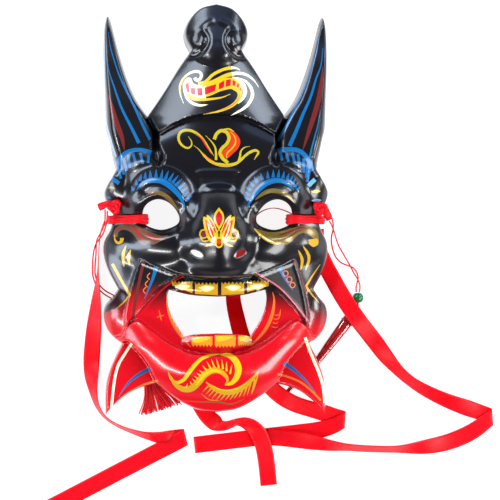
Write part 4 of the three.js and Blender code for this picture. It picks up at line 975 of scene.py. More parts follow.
back_z = np.where(from_edge < SIDE_FOOT, rim_height(plan_x, plan_y), sampled(back_grid, plan_x, plan_y))
back_z = np.minimum(back_z, front_z - THINNEST_WALL)
count = len(place)

# Shading follows the slope of the height grid, which is smoother than the triangles.
slope_y, slope_x = np.gradient(front_grid, GRID)
back_slope_y, back_slope_x = np.gradient(softened(back_grid, 2), GRID)


def slope_normals(slopes_x, slopes_y, facing):
    """Directions square to the slopes, upwards for the front and downwards for the back."""
    lean_x, lean_y = sampled(slopes_x, plan_x, plan_y) * np.sign(plan_x), sampled(slopes_y, plan_x, plan_y)
    normal = np.stack([-lean_x, -lean_y, np.ones(count)], axis=1)
    return facing * normal / np.linalg.norm(normal, axis=1)[:, None]


front_normal = slope_normals(slope_x, slope_y, 1)
back_normal = slope_normals(back_slope_x, back_slope_y, -1)

# An edge that only one triangle of the plan has lies on the outline or round an opening.
border = {}
for a, b, c in corners.tolist():
    for edge in ((a, b), (b, c), (c, a)):
        if (edge[1], edge[0]) in border:
            del border[(edge[1], edge[0])]
        else:
            border[edge] = True
walls = [(b, a, a + count, b + count) for a, b in border]
faces = corners.tolist() + (corners[:, ::-1] + count).tolist() + walls
front_verts = np.stack([plan_x, plan_y, front_z], axis=1)
back_verts = np.stack([plan_x, plan_y, back_z], axis=1)
verts = np.concatenate([front_verts, back_verts]) * MM

# Ground colours: black, turning through dark red to bright red from the fangs down. For the face and
# each field: where the red starts and over how many millimetres it comes in, on the left and the right.
RED_FROM = {
    "face": (-56, 30, -66, 24),
    "mouth": (-53, 26, -56, 24),
    "jaw": (-70, 8, -70, 8),
    "fin": (-70, 8, -70, 8),
    "fang": (-50, 24, -62, 70),
    "horn": (-400, 10, -400, 10),     # so far down that the horns and the cap stay black
    "cap": (-400, 10, -400, 10),
}
RED_CROSSING = 30                     # how wide the middle is where the left side's red meets the right's
BLACK = np.array(linear(INK))
BRIGHT = np.array(linear(JAW_RED)) * PIGMENT
red_from = np.tile(np.array(RED_FROM["face"], float), (len(corners), 1))
for name, ring, _ in fields:
    red_from[inside(np.abs(middle[:, 0]), middle[:, 1], ring)] = RED_FROM[name]
left_start, left_span, right_start, right_span = red_from.T[..., None]
to_right = ease((plan_x[corners] + RED_CROSSING / 2) / RED_CROSSING)
start = left_start * (1 - to_right) + right_start * to_right
span = left_span * (1 - to_right) + right_span * to_right
ground = ease((start - plan_y[corners]) / span)
colour = BLACK * (1 - ground[..., None]) + BRIGHT * ground[..., None]
colour[..., 3] = 0
METALLIC = {GOLD: 0.15, YELLOW: 0.05, OLIVE: 0.3}       # the share of bronze powder in each gold paint
PIGMENT_OF = {CREAM: 0.95, TOOTH_HIGHLIGHT_GOLD: 0.85}             # the palest paints, and the teeth's pale gold painted highlight, show more strongly
for paint_colour, ring in shapes:
    low, high = ring.min(axis=0), ring.max(axis=0)
    near = np.nonzero(np.all((middle > low) & (middle < high), axis=1))[0]
    hit = near[inside(middle[near, 0], middle[near, 1], ring)]
    strength = PIGMENT_OF.get(paint_colour, PIGMENT)
    colour[hit] = [strength * part for part in linear(paint_colour)[:3]] + [METALLIC.get(paint_colour, 0)]

# The mesh's corners come in the order front, back, walls; the back and the walls stay black.
loop_colour = np.tile(np.append(BLACK[:3], 0), (6 * len(corners) + 4 * len(walls), 1))
loop_colour[:3 * len(corners)] = colour.reshape(-1, 4)

mask_mesh = bpy.data.meshes.new("mask_shell_moulding")
mask_mesh.from_pydata(verts.tolist(), [], faces)
paint_layer = mask_mesh.color_attributes.new("paint", "FLOAT_COLOR", "CORNER")
paint_layer.data.foreach_set("color", loop_colour.astype(np.float32).ravel())
wall_normals = []
for b, a, *_ in walls:
    run = place[a] - place[b]
    flat = np.array([-run[1], run[0], 0]) / max(np.linalg.norm(run), 1e-9)
    wall_normals += [flat] * 4
front_normals = front_normal[corners].reshape(-1, 3)
back_normals = back_normal[corners[:, ::-1]].reshape(-1, 3)
loop_normals = np.concatenate([front_normals, back_normals, np.array(wall_normals)])
mask_mesh.polygons.foreach_set("use_smooth", [True] * len(mask_mesh.polygons))
mask_mesh.normals_split_custom_set(loop_normals.tolist())

# Moulded plastic, painted and sprayed with clear lacquer: a deep gloss that shows sharp soft-edged
# reflections, a little wavy where the lacquer ran and duller where it is smeared.
RIPPLE_MM = 22.2                      # length of the ripples in the lacquer,
SMEAR_MM = 33.3                       # and of its duller smears
lacquer, lacquer_tree, lacquer_shader = material("glossy_moulded_plastic")
paint_node = add(lacquer_tree, "VertexColor", layer_name="paint")
spot = add(lacquer_tree, "TexCoord")
waves = add(lacquer_tree, "TexNoise", {
    "Vector": spot.outputs["Object"], "Scale": 1 / (RIPPLE_MM * MM), "Detail": 1.5,
})
smears = add(lacquer_tree, "TexNoise", {
    "Vector": spot.outputs["Object"], "Scale": 1 / (SMEAR_MM * MM), "Detail": 3.0,
})
gloss = add(lacquer_tree, "MapRange", {"Value": smears.outputs["Fac"], "To Min": 0.18, "To Max": 0.28})
ripple = add(lacquer_tree, "Bump", {"Height": waves.outputs["Fac"], "Strength": 0.25, "Distance": 0.0004})
lacquer_tree.links.new(paint_node.outputs["Color"], lacquer_shader.inputs["Base Color"])
lacquer_tree.links.new(paint_node.outputs["Alpha"], lacquer_shader.inputs["Metallic"])
lacquer_tree.links.new(gloss.outputs["Result"], lacquer_shader.inputs["Roughness"])
lacquer_tree.links.new(ripple.outputs["Normal"], lacquer_shader.inputs["Normal"])
lacquer_shader.inputs["IOR"].default_value = 1.5
lacquer_shader.inputs["Coat Weight"].default_value = 0.35
lacquer_shader.inputs["Coat Roughness"].default_value = 0.1

mask_shell = show("mask_shell_moulding", mask_mesh, lacquer)
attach(mask_shell, "root")
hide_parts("mask_shell")

# The ties. At each temple a length of the same ribbon is bunched together, wrapped round the bar
# between the eye and the side, and knotted on the front with a short cut end left over.
RIBBON_WIDTH = 12.0
OFF_TABLE = 0.4                       # how far cloth stays off the table
# The weave, drawn coarser than it is so that it shows: width and length of the warp's streaks in
# millimetres, and how often the weft changes in a millimetre, across the ribbon and along it.
WARP_MM = (0.2, 4.0)
WEFT_PER_MM = (0.2, 2.2)
# The band round the bar: its reach from the eye to the side, its lowest point and its two edges.
BAND = {"in_eye": 49.4, "outside": 75.6, "inside": 66.4, "foot": 1.4, "top": -4.8, "bottom": -10.8}
BAR_STATIONS = (54, 58, 62, 66)       # places across the bar that the band is laid over and under
SHOULDER = 69.6                       # where it turns down at the side
BAND_OVER = 0.9                       # how far the cloth's middle stands off the front
BAND_UNDER = 1.1                      # and the back
BAND_CLOTH = 0.7                      # thickness of the bunched cloth
BAND_SIDES = 16                       # points across its outer and its inner face
BAND_WEAVE = (0.7, 0.9)               # millimetres of cloth between its points
KNOT_SCALE = (1.25, 1.25, 0.9)        # size of the three-lobed loop that the knot follows
KNOT_CLOTH = (2.0, 1.7)               # half width and half height of the ribbon bunched in it
KNOT_SITS = 2.4                       # height of its middle over what it lies on
LEFT_KNOT = (-72.0, 1.0, 0.35)        # middle of the knot and its turn
# A cut end's points: x, y, height over the knot's middle and half width.
LEFT_END = [(-73, 3, 1, 2.0), (-76.4, 2.8, 1.4, 2.3), (-79.6, 1.8, 0.6, 2.3), (-82.8, 0.6, -1.2, 2.6)]
RIGHT_KNOT = (72.2, 0.0, 1.9)
RIGHT_END = [(73.4, 0, 1, 2.0), (75.8, -2.2, 1.2, 2.6), (77.8, -4.8, 0, 2.7), (79.2, -7.6, -2, 2.4)]


def closed_mesh(name, bm):
    """Turns a finished closed bmesh to a mesh whose faces point outwards."""
    bmesh.ops.recalc_face_normals(bm, faces=bm.faces)
    return mesh_of(name, bm)


def satin(name, colour, shade, uneven=0.35):
    """Polyester satin: long warp threads give it a silky streak along the ribbon over a fine weave."""
    finish, tree, shader = material(name)
    weave_place = add(tree, "UVMap", uv_map="weave")
    streak = (1 / WARP_MM[0], 1 / WARP_MM[1], 1.0)
    stretch = add(tree, "Mapping", {"Vector": weave_place.outputs["UV"], "Scale": streak})
    threads = add(tree, "TexNoise", {"Vector": stretch.outputs["Vector"], "Scale": 1.0, "Detail": 3.0})
    ribs = add(tree, "Mapping", {"Vector": weave_place.outputs["UV"], "Scale": WEFT_PER_MM + (1.0,)})
    weft = add(tree, "TexNoise", {"Vector": ribs.outputs["Vector"], "Scale": 1.0, "Detail": 2.0})
    tint = add(tree, "ValToRGB", {"Fac": threads.outputs["Fac"]})
    tint.color_ramp.elements[0].position = 0.3
    tint.color_ramp.elements[0].color = linear(shade)
    tint.color_ramp.elements[1].position = 0.7
    tint.color_ramp.elements[1].color = linear(colour)
    weave = add(tree, "Math", {0: threads.outputs["Fac"], 1: weft.outputs["Fac"]}, operation="ADD")
    relief = add(tree, "Bump", {"Height": weave.outputs[0], "Strength": uneven, "Distance": 0.0001})
    tree.links.new(tint.outputs["Color"], shader.inputs["Base Color"])
    tree.links.new(relief.outputs["Normal"], shader.inputs["Normal"])
    shader.inputs["Roughness"].default_value = 0.4
    shader.inputs["Specular IOR Level"].default_value = 0.15
    shader.inputs["Subsurface Weight"].default_value = 0.7       # the cloth lets the sheet's light through
    shader.inputs["Subsurface Radius"].default_value = (1.0, 0.12, 0.12)
    shader.inputs["Subsurface Scale"].default_value = 0.002
    return finish


red_satin = satin("red_satin_ribbon", "#e20418", "#c00010")


def tube_into(bm, uv, path, sizes, sides, ups=None, wave=None, ends=True):
    """Adds a tube along a path, in millimetres, with half sizes across and up at each point."""
    path = np.asarray(path, float)
    runs = np.gradient(path, axis=0)
    runs /= np.linalg.norm(runs, axis=1)[:, None]
    far = np.concatenate([[0], np.cumsum(np.linalg.norm(np.diff(path, axis=0), axis=1))])
    lift = np.array([0.0, 0.0, 1.0]) if abs(runs[0][2]) < 0.9 else np.array([1.0, 0.0, 0.0])
    rings = []
    for i, run in enumerate(runs):
        lift = lift - run * (lift @ run)
        lift /= np.linalg.norm(lift)
        up = lift if ups is None else ups[i]
        over = np.cross(run, up)
        ring = []
        for k in range(sides):
            angle = 2 * math.pi * k / sides
            swell = wave(angle, far[i]) if wave else 1
            reach = over * sizes[i][0] * math.cos(angle) + up * sizes[i][1] * math.sin(angle)
            ring.append(bm.verts.new(Vector(path[i] + reach * swell) * MM))
        rings.append(ring)
    for i in range(len(rings) - 1):
        for k in range(sides):
            near = (k + 1) % sides
            face = bm.faces.new((rings[i][k], rings[i + 1][k], rings[i + 1][near], rings[i][near]))
            face.smooth = True
            for loop, (share, row) in zip(face.loops, ((k, i), (k, i + 1), (k + 1, i + 1), (k + 1, i))):
                loop[uv].uv = (share / sides * RIBBON_WIDTH, far[row])
    if ends:
        bm.faces.new(rings[0])
        bm.faces.new(rings[-1][::-1])


def pleated(angle, at):
    """The folds of a ribbon that is bunched together."""
    return 1 + 0.1 * math.sin(5 * angle + 0.35 * at) + 0.07 * math.sin(9 * angle - 0.6 * at)


def front_near(x, y):
    """The height of the front at one place."""
    return float(sampled(front_grid, np.array([x]), np.array([y]))[0])


def knot_height(knot):
    """How high a knot's middle lies on the shell."""
    under = [front_near(knot[0] + dx, knot[1] + dy) for dx in (-3, 0, 3) for dy in (-3, 0, 3)]
    return max(under) + KNOT_SITS


def tie_mesh(name, side, knot, end):
    """The bunched band round the bar, the knot on the front and its cut end."""
    bm = bmesh.new()
    uv = bm.loops.layers.uv.new("weave")
    middle_y = (BAND["top"] + BAND["bottom"]) / 2
    sample_y = (BAND["top"], middle_y, BAND["bottom"])

    def over_front(x):
        """Just over the front, where the band crosses it."""
        return max(front_near(x, y) for y in sample_y) + BAND_OVER

    def under_back(x):
        """Just under the back of the bar."""
        backs = sampled(back_grid, np.full(len(sample_y), x), np.array(sample_y))
        return float(backs.min()) - BAND_UNDER

    shoulder = over_front(SHOULDER)
    first_x, last_x = BAR_STATIONS[0], BAR_STATIONS[-1]
    loop = [(BAND["in_eye"], over_front(first_x) - 1.4)] + [(x, over_front(x)) for x in BAR_STATIONS]
    loop += [(SHOULDER, shoulder), (73.4, shoulder - 0.6), (BAND["outside"], shoulder - 3.4),
             (BAND["outside"], BAND["foot"] + 1.6), (BAND["outside"] - 1.4, BAND["foot"]),
             (BAND["inside"] + 1.2, BAND["foot"]), (BAND["inside"], BAND["foot"] + 1.6),
             (BAND["inside"], under_back(last_x) - 2)]
    loop += [(x, under_back(x)) for x in BAR_STATIONS[::-1]]
    loop += [(BAND["in_eye"], under_back(first_x) + 1),
             (BAND["in_eye"] - 0.3, (over_front(first_x) + under_back(first_x)) / 2)]
    line = spline(loop + loop[:1], 8)[:-1]
    run = np.roll(line, -1, axis=0) - np.roll(line, 1, axis=0)
    outward = np.stack([-run[:, 1], run[:, 0]], axis=1) / np.linalg.norm(run, axis=1)[:, None]
    rings = []
    for i, ((x, z), (out_x, out_z)) in enumerate(zip(line, outward)):
        ring = []
        flare = 1 + 0.22 * hump(x, 0, 50, 0, 5, 1)
        for k in range(2 * BAND_SIDES):
            share = min(k, 2 * BAND_SIDES - 1 - k) / (BAND_SIDES - 1)
            pleat = 0.32 * math.sin(share * 17 + 0.12 * i) + 0.22 * math.sin(share * 31 - 0.2 * i)
            crown = 0.8 * math.sin(math.pi * share)
            lift = pleat + crown + BAND_CLOTH / 2 if k < BAND_SIDES else -BAND_CLOTH / 2
            sway = 0.25 * math.sin(i * 0.21)
            y = middle_y + (share - 0.5) * (BAND["top"] - BAND["bottom"]) * flare + sway
            place_at = (side * (x + out_x * lift), y, max(z + out_z * lift, 0.3))
            ring.append(bm.verts.new(Vector(place_at) * MM))
        rings.append(ring)
    for i in range(len(rings)):
        following = (i + 1) % len(rings)
        for k in range(2 * BAND_SIDES):
            near = (k + 1) % (2 * BAND_SIDES)
            face = bm.faces.new((rings[i][k], rings[i][near], rings[following][near], rings[following][k]))
            face.smooth = True
            for corner, (share, row) in zip(face.loops, ((k, i), (k + 1, i), (k + 1, i + 1), (k, i + 1))):
                corner[uv].uv = (share * BAND_WEAVE[0], row * BAND_WEAVE[1])

    height = knot_height(knot)
    turns = np.linspace(0, 2 * np.pi, 90)
    trefoil = np.stack([np.sin(turns) + 2 * np.sin(2 * turns), np.cos(turns) - 2 * np.cos(2 * turns),
                        -np.sin(3 * turns)], axis=1) * KNOT_SCALE
    cosine, sine = math.cos(knot[2]), math.sin(knot[2])
    knot_x, knot_y, knot_z = trefoil.T
    spun = np.stack([knot_x * cosine - knot_y * sine, knot_x * sine + knot_y * cosine, knot_z], axis=1)
    knot_line = spun + (knot[0], knot[1], height)
    tube_into(bm, uv, knot_line, [KNOT_CLOTH] * len(knot_line), 14, wave=pleated, ends=False)
    end_line = spline([(x, y, height + z) for x, y, z, _ in end], 6)
    widths = np.interp(np.linspace(0, 3, len(end_line)), range(4), [w for *_, w in end])
    tube_into(bm, uv, end_line, [(w, 0.9) for w in widths], 16, wave=pleated)
    return closed_mesh(name, bm)


TIES = {"left": (-1, LEFT_KNOT, LEFT_END), "right": (1, RIGHT_KNOT, RIGHT_END)}
for side_name, (side_sign, side_knot, side_end) in TIES.items():
    tie_name = f"tie_{side_name}_satin"
    tie = show(tie_name, tie_mesh(tie_name, side_sign, side_knot, side_end), red_satin)
    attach(tie, "root")
    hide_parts(f"ribbon_tie_{side_name}")

# The ribbon tails. Woven satin ribbon 12 mm wide, dyed red, cut off square. Each tail comes from
# the knot at a temple, runs on edge or flat over the table, and is folded back on itself.
RIBBON_CLOTH = 0.36                   # thickness of the cloth
SELVEDGE = 0.516                      # thickness at its woven edges
# A station is x, y, z in millimetres, the lean of the width in degrees, and a heading at a fold.
LEFT_OUTER_TAIL = [
    (-78.8, -9, 10, 80), (-81.8, -16, 7.4, 86), (-83.2, -25.6, 6.4, 88), (-83.6, -35, 6.6, 88),
    (-84, -46, 7.8, 84), (-84.4, -54, 7.9, 74), (-85, -62, 6.8, 62), (-86, -74, 4.6, 44),
    (-87, -86, 2.8, 26), (-88, -98, 1.9, 16), (-88.6, -108.6, 1.5, 13), (-88.6, -120, 3.6, 36),
    (-87.2, -131, 5.6, 62), (-84, -141.5, 6.2, 74), (-78.6, -149, 6.3, 78), (-70.5, -154.5, 6.3, 76),
    (-61, -158.5, 6.2, 72), (-50.5, -161.8, 5.8, 62), (-41, -163.6, 4.6, 44), (-33.5, -164.4, 2.4, 18),
    (-27.5, -164.3, 0.6, 0, 104), (-22.2, -163.8, 0.7, 0, 104), (-21.1, -163.9, 1.3, 0, 104),
    (-22.3, -164.4, 2, 0, 104), (-28, -167.3, 2, 0, 112), (-36, -171.4, 1.5, 0), (-46, -176.5, 0.7, 0),
    (-58, -182.7, 0.5, 0), (-72, -189.9, 0.5, 0), (-90, -199.2, 0.5, 0), (-108, -208.5, 0.5, 0),
    (-122, -215.7, 0.5, 0),
]
LEFT_INNER_TAIL = [
    (-65.4, -13, 6.4, 86), (-61, -23, 6.4, 86), (-54.5, -38, 6.3, 84), (-48.5, -54, 6.2, 80),
    (-44, -70, 6, 72), (-39.5, -88, 5, 54), (-31, -106, 3.2, 30), (-20.5, -124, 1.4, 10),
    (-11.5, -139, 0.6, 0), (-5.5, -148.5, 0.6, 0), (0.5, -154, 1.9, 16, 55), (3.6, -155.6, 4, 44, 66),
    (8, -155.4, 5.2, 52, 84), (13.5, -153.6, 5.6, 52, 74), (18.6, -152.4, 5.6, 46, 50),
    (24.6, -154.6, 5.8, 32, 42), (30.4, -160.4, 4.6, 10, 32), (34, -168, 3.3, 0, 22),
    (36.2, -177, 1.8, 0), (37.6, -187, 0.5, 0), (38.8, -199, 0.5, 0),
]
RIGHT_INNER_TAIL = [
    (65.4, -12.6, 6.4, 86), (59, -6, 6.4, 88), (51, -1.4, 6.4, 89), (42, 0.9, 6.4, 89),
    (34.5, -0.8, 6.4, 89), (28.6, -5, 6.4, 88), (23.6, -13, 6.3, 80), (20.6, -24, 5.6, 64),
    (18.2, -38, 4.4, 46), (14.6, -52, 3.6, 36), (12.9, -62, 3.3, 33), (13.8, -70, 2.9, 28),
    (15.6, -78, 2.4, 22), (18.2, -88, 1.9, 16), (23, -101, 1.7, 14), (30.2, -115, 2.2, 20),
    (39, -127, 4.4, 20), (48.2, -135, 5.6, 8), (58, -140.4, 3.4, 12), (69.5, -144.2, 1.6, 12),
    (80.8, -147.6, 0.8, 2), (88, -149.9, 0.6, 0, 88), (93, -151.4, 0.7, 0, 86), (94, -151.9, 1.3, 0, 86),
    (93, -152.6, 1.9, 0, 86), (86.6, -155.8, 1.9, 0, 90), (76, -159, 1.2, 0), (61.3, -161, 0.5, 0),
    (39.7, -163.4, 0.5, 0), (10.8, -166.7, 0.5, 0), (-15, -169.6, 0.5, 0),
]
RIGHT_OUTER_TAIL = [
    (72.8, -14, 1, 0), (73, -21, 1, 0), (75.2, -30, 1, 0), (79.4, -39.6, 1.2, 0),
    (84.6, -49.6, 3.2, 0), (90, -60, 7.4, 0), (96, -70, 10, 0), (103.4, -80.6, 9.6, 0), (110, -88.6, 6, 4),
    (116.4, -96.6, 3.6, 12), (123.4, -106, 3.6, 30), (131.4, -115.4, 5, 50), (140.4, -123.4, 5.3, 54),
    (151.3, -130.3, 4.8, 46), (166.9, -137.8, 3.6, 32), (183, -143.8, 1.7, 12), (193, -147.1, 0.6, 0, 92),
    (200.4, -149.8, 0.7, 0, 94), (201.6, -150.4, 1.3, 0, 94), (200.4, -151.4, 1.9, 0, 94),
    (192, -157.6, 1.9, 0, 106), (183, -163, 1.2, 0), (168.8, -168.6, 1.2, 6), (152.4, -171.6, 3.2, 26),
    (131, -173, 5.6, 60), (111.8, -172.6, 5.7, 62), (95, -171.4, 5.6, 60), (82, -170, 4.9, 44),
    (66.4, -167.2, 3, 16), (50.5, -165, 1.6, 0), (37, -163.8, 1.4, 0),
]


def ribbon_edges(route, per_span):
    """Both edges of a ribbon that follows its stations, in millimetres."""
    middles = np.array([station[:3] for station in route], float)
    acrosses = []
    for i, station in enumerate(route):
        run = middles[min(i + 1, len(route) - 1)] - middles[max(i - 1, 0)]
        square = math.atan2(run[1], run[0]) + math.pi / 2
        angle = math.radians(station[4]) if len(station) > 4 else square
        flat = np.array([math.cos(angle), math.sin(angle), 0])
        if acrosses and flat @ acrosses[-1] < 0:
            flat = -flat
        lean = math.radians(station[3])
        acrosses.append((flat * math.cos(lean) + np.array([0, 0, math.sin(lean)])) * RIBBON_WIDTH)
        middles[i][2] = max(middles[i][2], OFF_TABLE + abs(acrosses[i][2]) / 2)
    edges = [spline(middles + side * np.array(acrosses), per_span) for side in (0.5, -0.5)]
    for edge in edges:
        edge[:, 2] = np.maximum(edge[:, 2], OFF_TABLE)
    return edges


def ribbon_mesh(name, route, per_span=10, across=8):
    """A woven ribbon with a thin middle and thicker edges; its UV map is in millimetres."""
    left, right = ribbon_edges(route, per_span)
    middle = (left + right) / 2
    runs = np.gradient(middle, axis=0)
    ups = np.cross(runs, right - left)
    ups /= np.linalg.norm(ups, axis=1)[:, None]
    along = np.concatenate([[0], np.cumsum(np.linalg.norm(np.diff(middle, axis=0), axis=1))])
    bm = bmesh.new()
    uv = bm.loops.layers.uv.new("weave")
    shares = [k / across for k in range(across + 1)]
    rings = []
    for i in range(len(middle)):
        ring = []
        for side in (1, -1):
            for share in (shares if side > 0 else shares[::-1]):
                half = (SELVEDGE if share in (0, 1) else RIBBON_CLOTH) / 2
                place = left[i] + (right[i] - left[i]) * share + ups[i] * half * side
                ring.append((bm.verts.new(Vector(place) * MM), share * RIBBON_WIDTH))
        rings.append(ring)
    count = len(rings[0])
    for i in range(len(rings) - 1):
        for k in range(count):
            near = (k + 1) % count
            corners = [(rings[i][k], i), (rings[i][near], i),
                       (rings[i + 1][near], i + 1), (rings[i + 1][k], i + 1)]
            face = bm.faces.new([vert for (vert, _), _ in corners])
            face.smooth = True
            for loop, ((_, share), row) in zip(face.loops, corners):
                loop[uv].uv = (share, along[row])
    for ring, order in ((rings[0], -1), (rings[-1], 1)):
        bm.faces.new([vert for vert, _ in ring][::order])
    return closed_mesh(name, bm), [Vector(point) * MM for point in middle]


TAILS = {
    "ribbon_left_outer": (LEFT_OUTER_TAIL, (-0.0755, -0.006, 0.014)),
    "ribbon_left_inner": (LEFT_INNER_TAIL, (-0.0664, -0.0106, 0.008)),
    "ribbon_right_inner": (RIGHT_INNER_TAIL, (0.0664, -0.0106, 0.008)),
    "ribbon_right_outer": (RIGHT_OUTER_TAIL, (0.0725, -0.0106, 0.0012)),
}
for tail_name, (tail_route, tail_exit) in TAILS.items():
    tail_mesh, tail_path = ribbon_mesh(tail_name + "_satin", tail_route)
    tail = show(tail_name + "_satin", tail_mesh, red_satin)
    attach(tail, "root")
    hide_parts(tail_name)

# The beads. Under each pair of strands hangs one bead of green pressed glass, 8 mm across, with a hole
# from side to side; the strands end in it from above and the tassel is tied in from below.
BEAD_RADIUS = 4.0
BEAD_HOLE = 1.5                       # radius of its hole
HOLE_EDGE = 0.2                       # rounding of the hole's edge,
EDGE_DROP = 0.35                      # how far the hole's wall stays below it
EDGE_TURN = 0.12                      # and the angle that it takes off the ball
BEAD_STEPS = 24                       # steps of the ball from one edge to the other
# The middle of each bead, and a point that its hole is turned to.
LEFT_BEAD = ((-59.6, -70.4, 4), (-63.9, -67.6, 4))
RIGHT_BEAD = ((103.1, -63.7, 4), (103, -58.5, 4))


def bead_mesh(name, at, toward):
    """A bead turned round its hole, with the hole's edge rounded."""
    bm = bmesh.new()
    start = math.asin(BEAD_HOLE / BEAD_RADIUS)
    hole_top = BEAD_RADIUS * math.cos(start) - EDGE_DROP
    ring_line = [(BEAD_HOLE, -hole_top), (BEAD_HOLE, 0), (BEAD_HOLE, hole_top),
                 (BEAD_HOLE + HOLE_EDGE, hole_top + HOLE_EDGE)]
    start += EDGE_TURN
    for k in range(BEAD_STEPS + 1):
        angle = start + (math.pi - 2 * start) * k / BEAD_STEPS
        ring_line.append((BEAD_RADIUS * math.sin(angle), BEAD_RADIUS * math.cos(angle)))
    ring_line.append((BEAD_HOLE + HOLE_EDGE, -hole_top - HOLE_EDGE))
    points = [bm.verts.new((r, 0, h)) for r, h in ring_line]
    edges = [bm.edges.new((points[i], points[(i + 1) % len(points)])) for i in range(len(points))]
    bmesh.ops.spin(bm, geom=points + edges, cent=(0, 0, 0), axis=(0, 0, 1), angle=2 * math.pi, steps=40,
                   use_merge=True, use_duplicate=False)
    bmesh.ops.recalc_face_normals(bm, faces=bm.faces)
    for face in bm.faces:
        face.smooth = True
    way = (Vector(toward) - Vector(at)).to_track_quat("Z", "Y").to_matrix().to_4x4()
    bmesh.ops.transform(bm, matrix=Matrix.Scale(MM, 4) @ Matrix.Translation(at) @ way, verts=bm.verts)
    return mesh_of(name, bm)


# Green pressed glass, fire-polished: small sharp highlights over a deep body colour.
green_glass, _, glass_shader = material("green_glass_bead")
glass_shader.inputs["Base Color"].default_value = linear("#0b6a38")
glass_shader.inputs["Roughness"].default_value = 0.06
glass_shader.inputs["IOR"].default_value = 1.52
glass_shader.inputs["Transmission Weight"].default_value = 0.25


def hang(node, mesh, finish):
    """Shows a piece that hangs from a knot in place of its solid."""
    piece = show(mesh.name, mesh, finish)
    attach(piece, "root")
    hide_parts(node)
    return piece


beads = {
    "left": hang("bead_left", bead_mesh("bead_left_glass", *LEFT_BEAD), green_glass),
    "right": hang("bead_right", bead_mesh("bead_right_glass", *RIGHT_BEAD), green_glass),
}

# The tassels. Red rayon threads that are bound to a head under each bead and hang loose from it; the
# left one spreads on the table, the right one is still pressed together in its sleeve.
# A tassel's station is x, y, z and its half width and half height.
LEFT_TASSEL = [
    (-58.4, -71.2, 4, 1, 1), (-56.4, -72.6, 4, 1, 1), (-54.6, -74.6, 3.9, 2.6, 2.6),
    (-52.8, -80, 3.6, 4, 3.3), (-50.6, -92, 3.5, 4.2, 3.2), (-48.6, -106, 3.4, 4.3, 3.1),
    (-46.4, -120, 3.2, 4.8, 2.8), (-43.4, -131, 2.6, 7.4, 2.2), (-40.6, -139, 1.9, 12.4, 1.5),
    (-39, -144.6, 1.3, 15.6, 0.9),
]
RIGHT_TASSEL = [
    (103.1, -65.4, 4, 1, 1), (102.8, -69.2, 4, 1, 1), (101.2, -72.4, 3.9, 2.8, 2.6),
    (98.6, -76.4, 3.6, 4, 3), (95.2, -81, 3.8, 4.2, 2.8), (90, -88, 3.7, 3.9, 2.7),
    (82, -98.5, 3.5, 3.3, 2.5), (74.3, -108.6, 3.2, 2.6, 2.2), (66, -117.2, 2.9, 2.1, 1.9),
    (58.5, -125, 2.5, 1.7, 1.5), (51.6, -131.6, 2.2, 1.4, 1.2),
]
TASSEL_HEAD = 14                      # stations of its smooth line that the bound head takes,
THREADS_FROM = 11                     # and where the threads start
THREAD_RADIUS = 0.42                  # coarser than a real thread, so that it shows
GOLDEN_ANGLE = 2.4                    # turn from thread to thread, which spreads them evenly


def tassel_mesh(name, stations, threads, spread, seed):
    """A bound head with threads that run from it along the tassel's stations."""
    rng = np.random.default_rng(seed)
    bm = bmesh.new()
    uv = bm.loops.layers.uv.new("weave")
    line = spline([s[:3] for s in stations], 6)
    sizes = spline([s[3:] for s in stations], 6)
    run = np.gradient(line, axis=0)
    over = np.stack([run[:, 1], -run[:, 0], np.zeros(len(run))], axis=1)
    over /= np.linalg.norm(over, axis=1)[:, None]
    up = np.cross(over, run)
    up /= np.linalg.norm(up, axis=1)[:, None]
    head = slice(0, TASSEL_HEAD)
    tube_into(bm, uv, line[head], [(max(w - 0.2, 0.7), max(h - 0.2, 0.7)) for w, h in sizes[head]], 14)
    for k in range(threads):
        angle = GOLDEN_ANGLE * k
        share = math.sqrt((k + 0.5) / threads)
        drift = rng.normal(0, 0.12, 2)
        stop = len(line) - int(rng.integers(0, 3))
        path = []
        for i in range(THREADS_FROM, stop):
            loose = (i - THREADS_FROM) / (len(line) - THREADS_FROM)
            u = (share * math.cos(angle) + drift[0] * loose * spread) * (sizes[i][0] - 0.3)
            v = (share * math.sin(angle) + drift[1] * loose) * (sizes[i][1] - 0.3)
            point = line[i] + over[i] * u + up[i] * v
            point[2] = max(point[2] + 0.25 * math.sin(0.6 * i + k) * loose, 0.55)
            path.append(point)
        tube_into(bm, uv, path, [(THREAD_RADIUS,) * 2] * len(path), 5)
    return closed_mesh(name, bm)


# Rayon thread, softer and a little paler than the ribbon where the threads catch the light.
red_thread = satin("red_rayon_thread", "#f01422", "#c80816", 0.5)
hang("tassel_left", tassel_mesh("tassel_left_threads", LEFT_TASSEL, 110, 1.6, 3), red_thread)
hang("tassel_right", tassel_mesh("tassel_right_threads", RIGHT_TASSEL, 60, 0.3, 5), red_thread)

# The sleeve. A short tube of clear packing film that still holds the right tassel's threads together,
# bent with them and open at both ends.
SLEEVE_FROM = 4                       # station of the tassel where it starts
SLEEVE_GAP = 0.4                      # how far it stands off the threads
SLEEVE_FILM = 0.25
SLEEVE_SIDES = 28


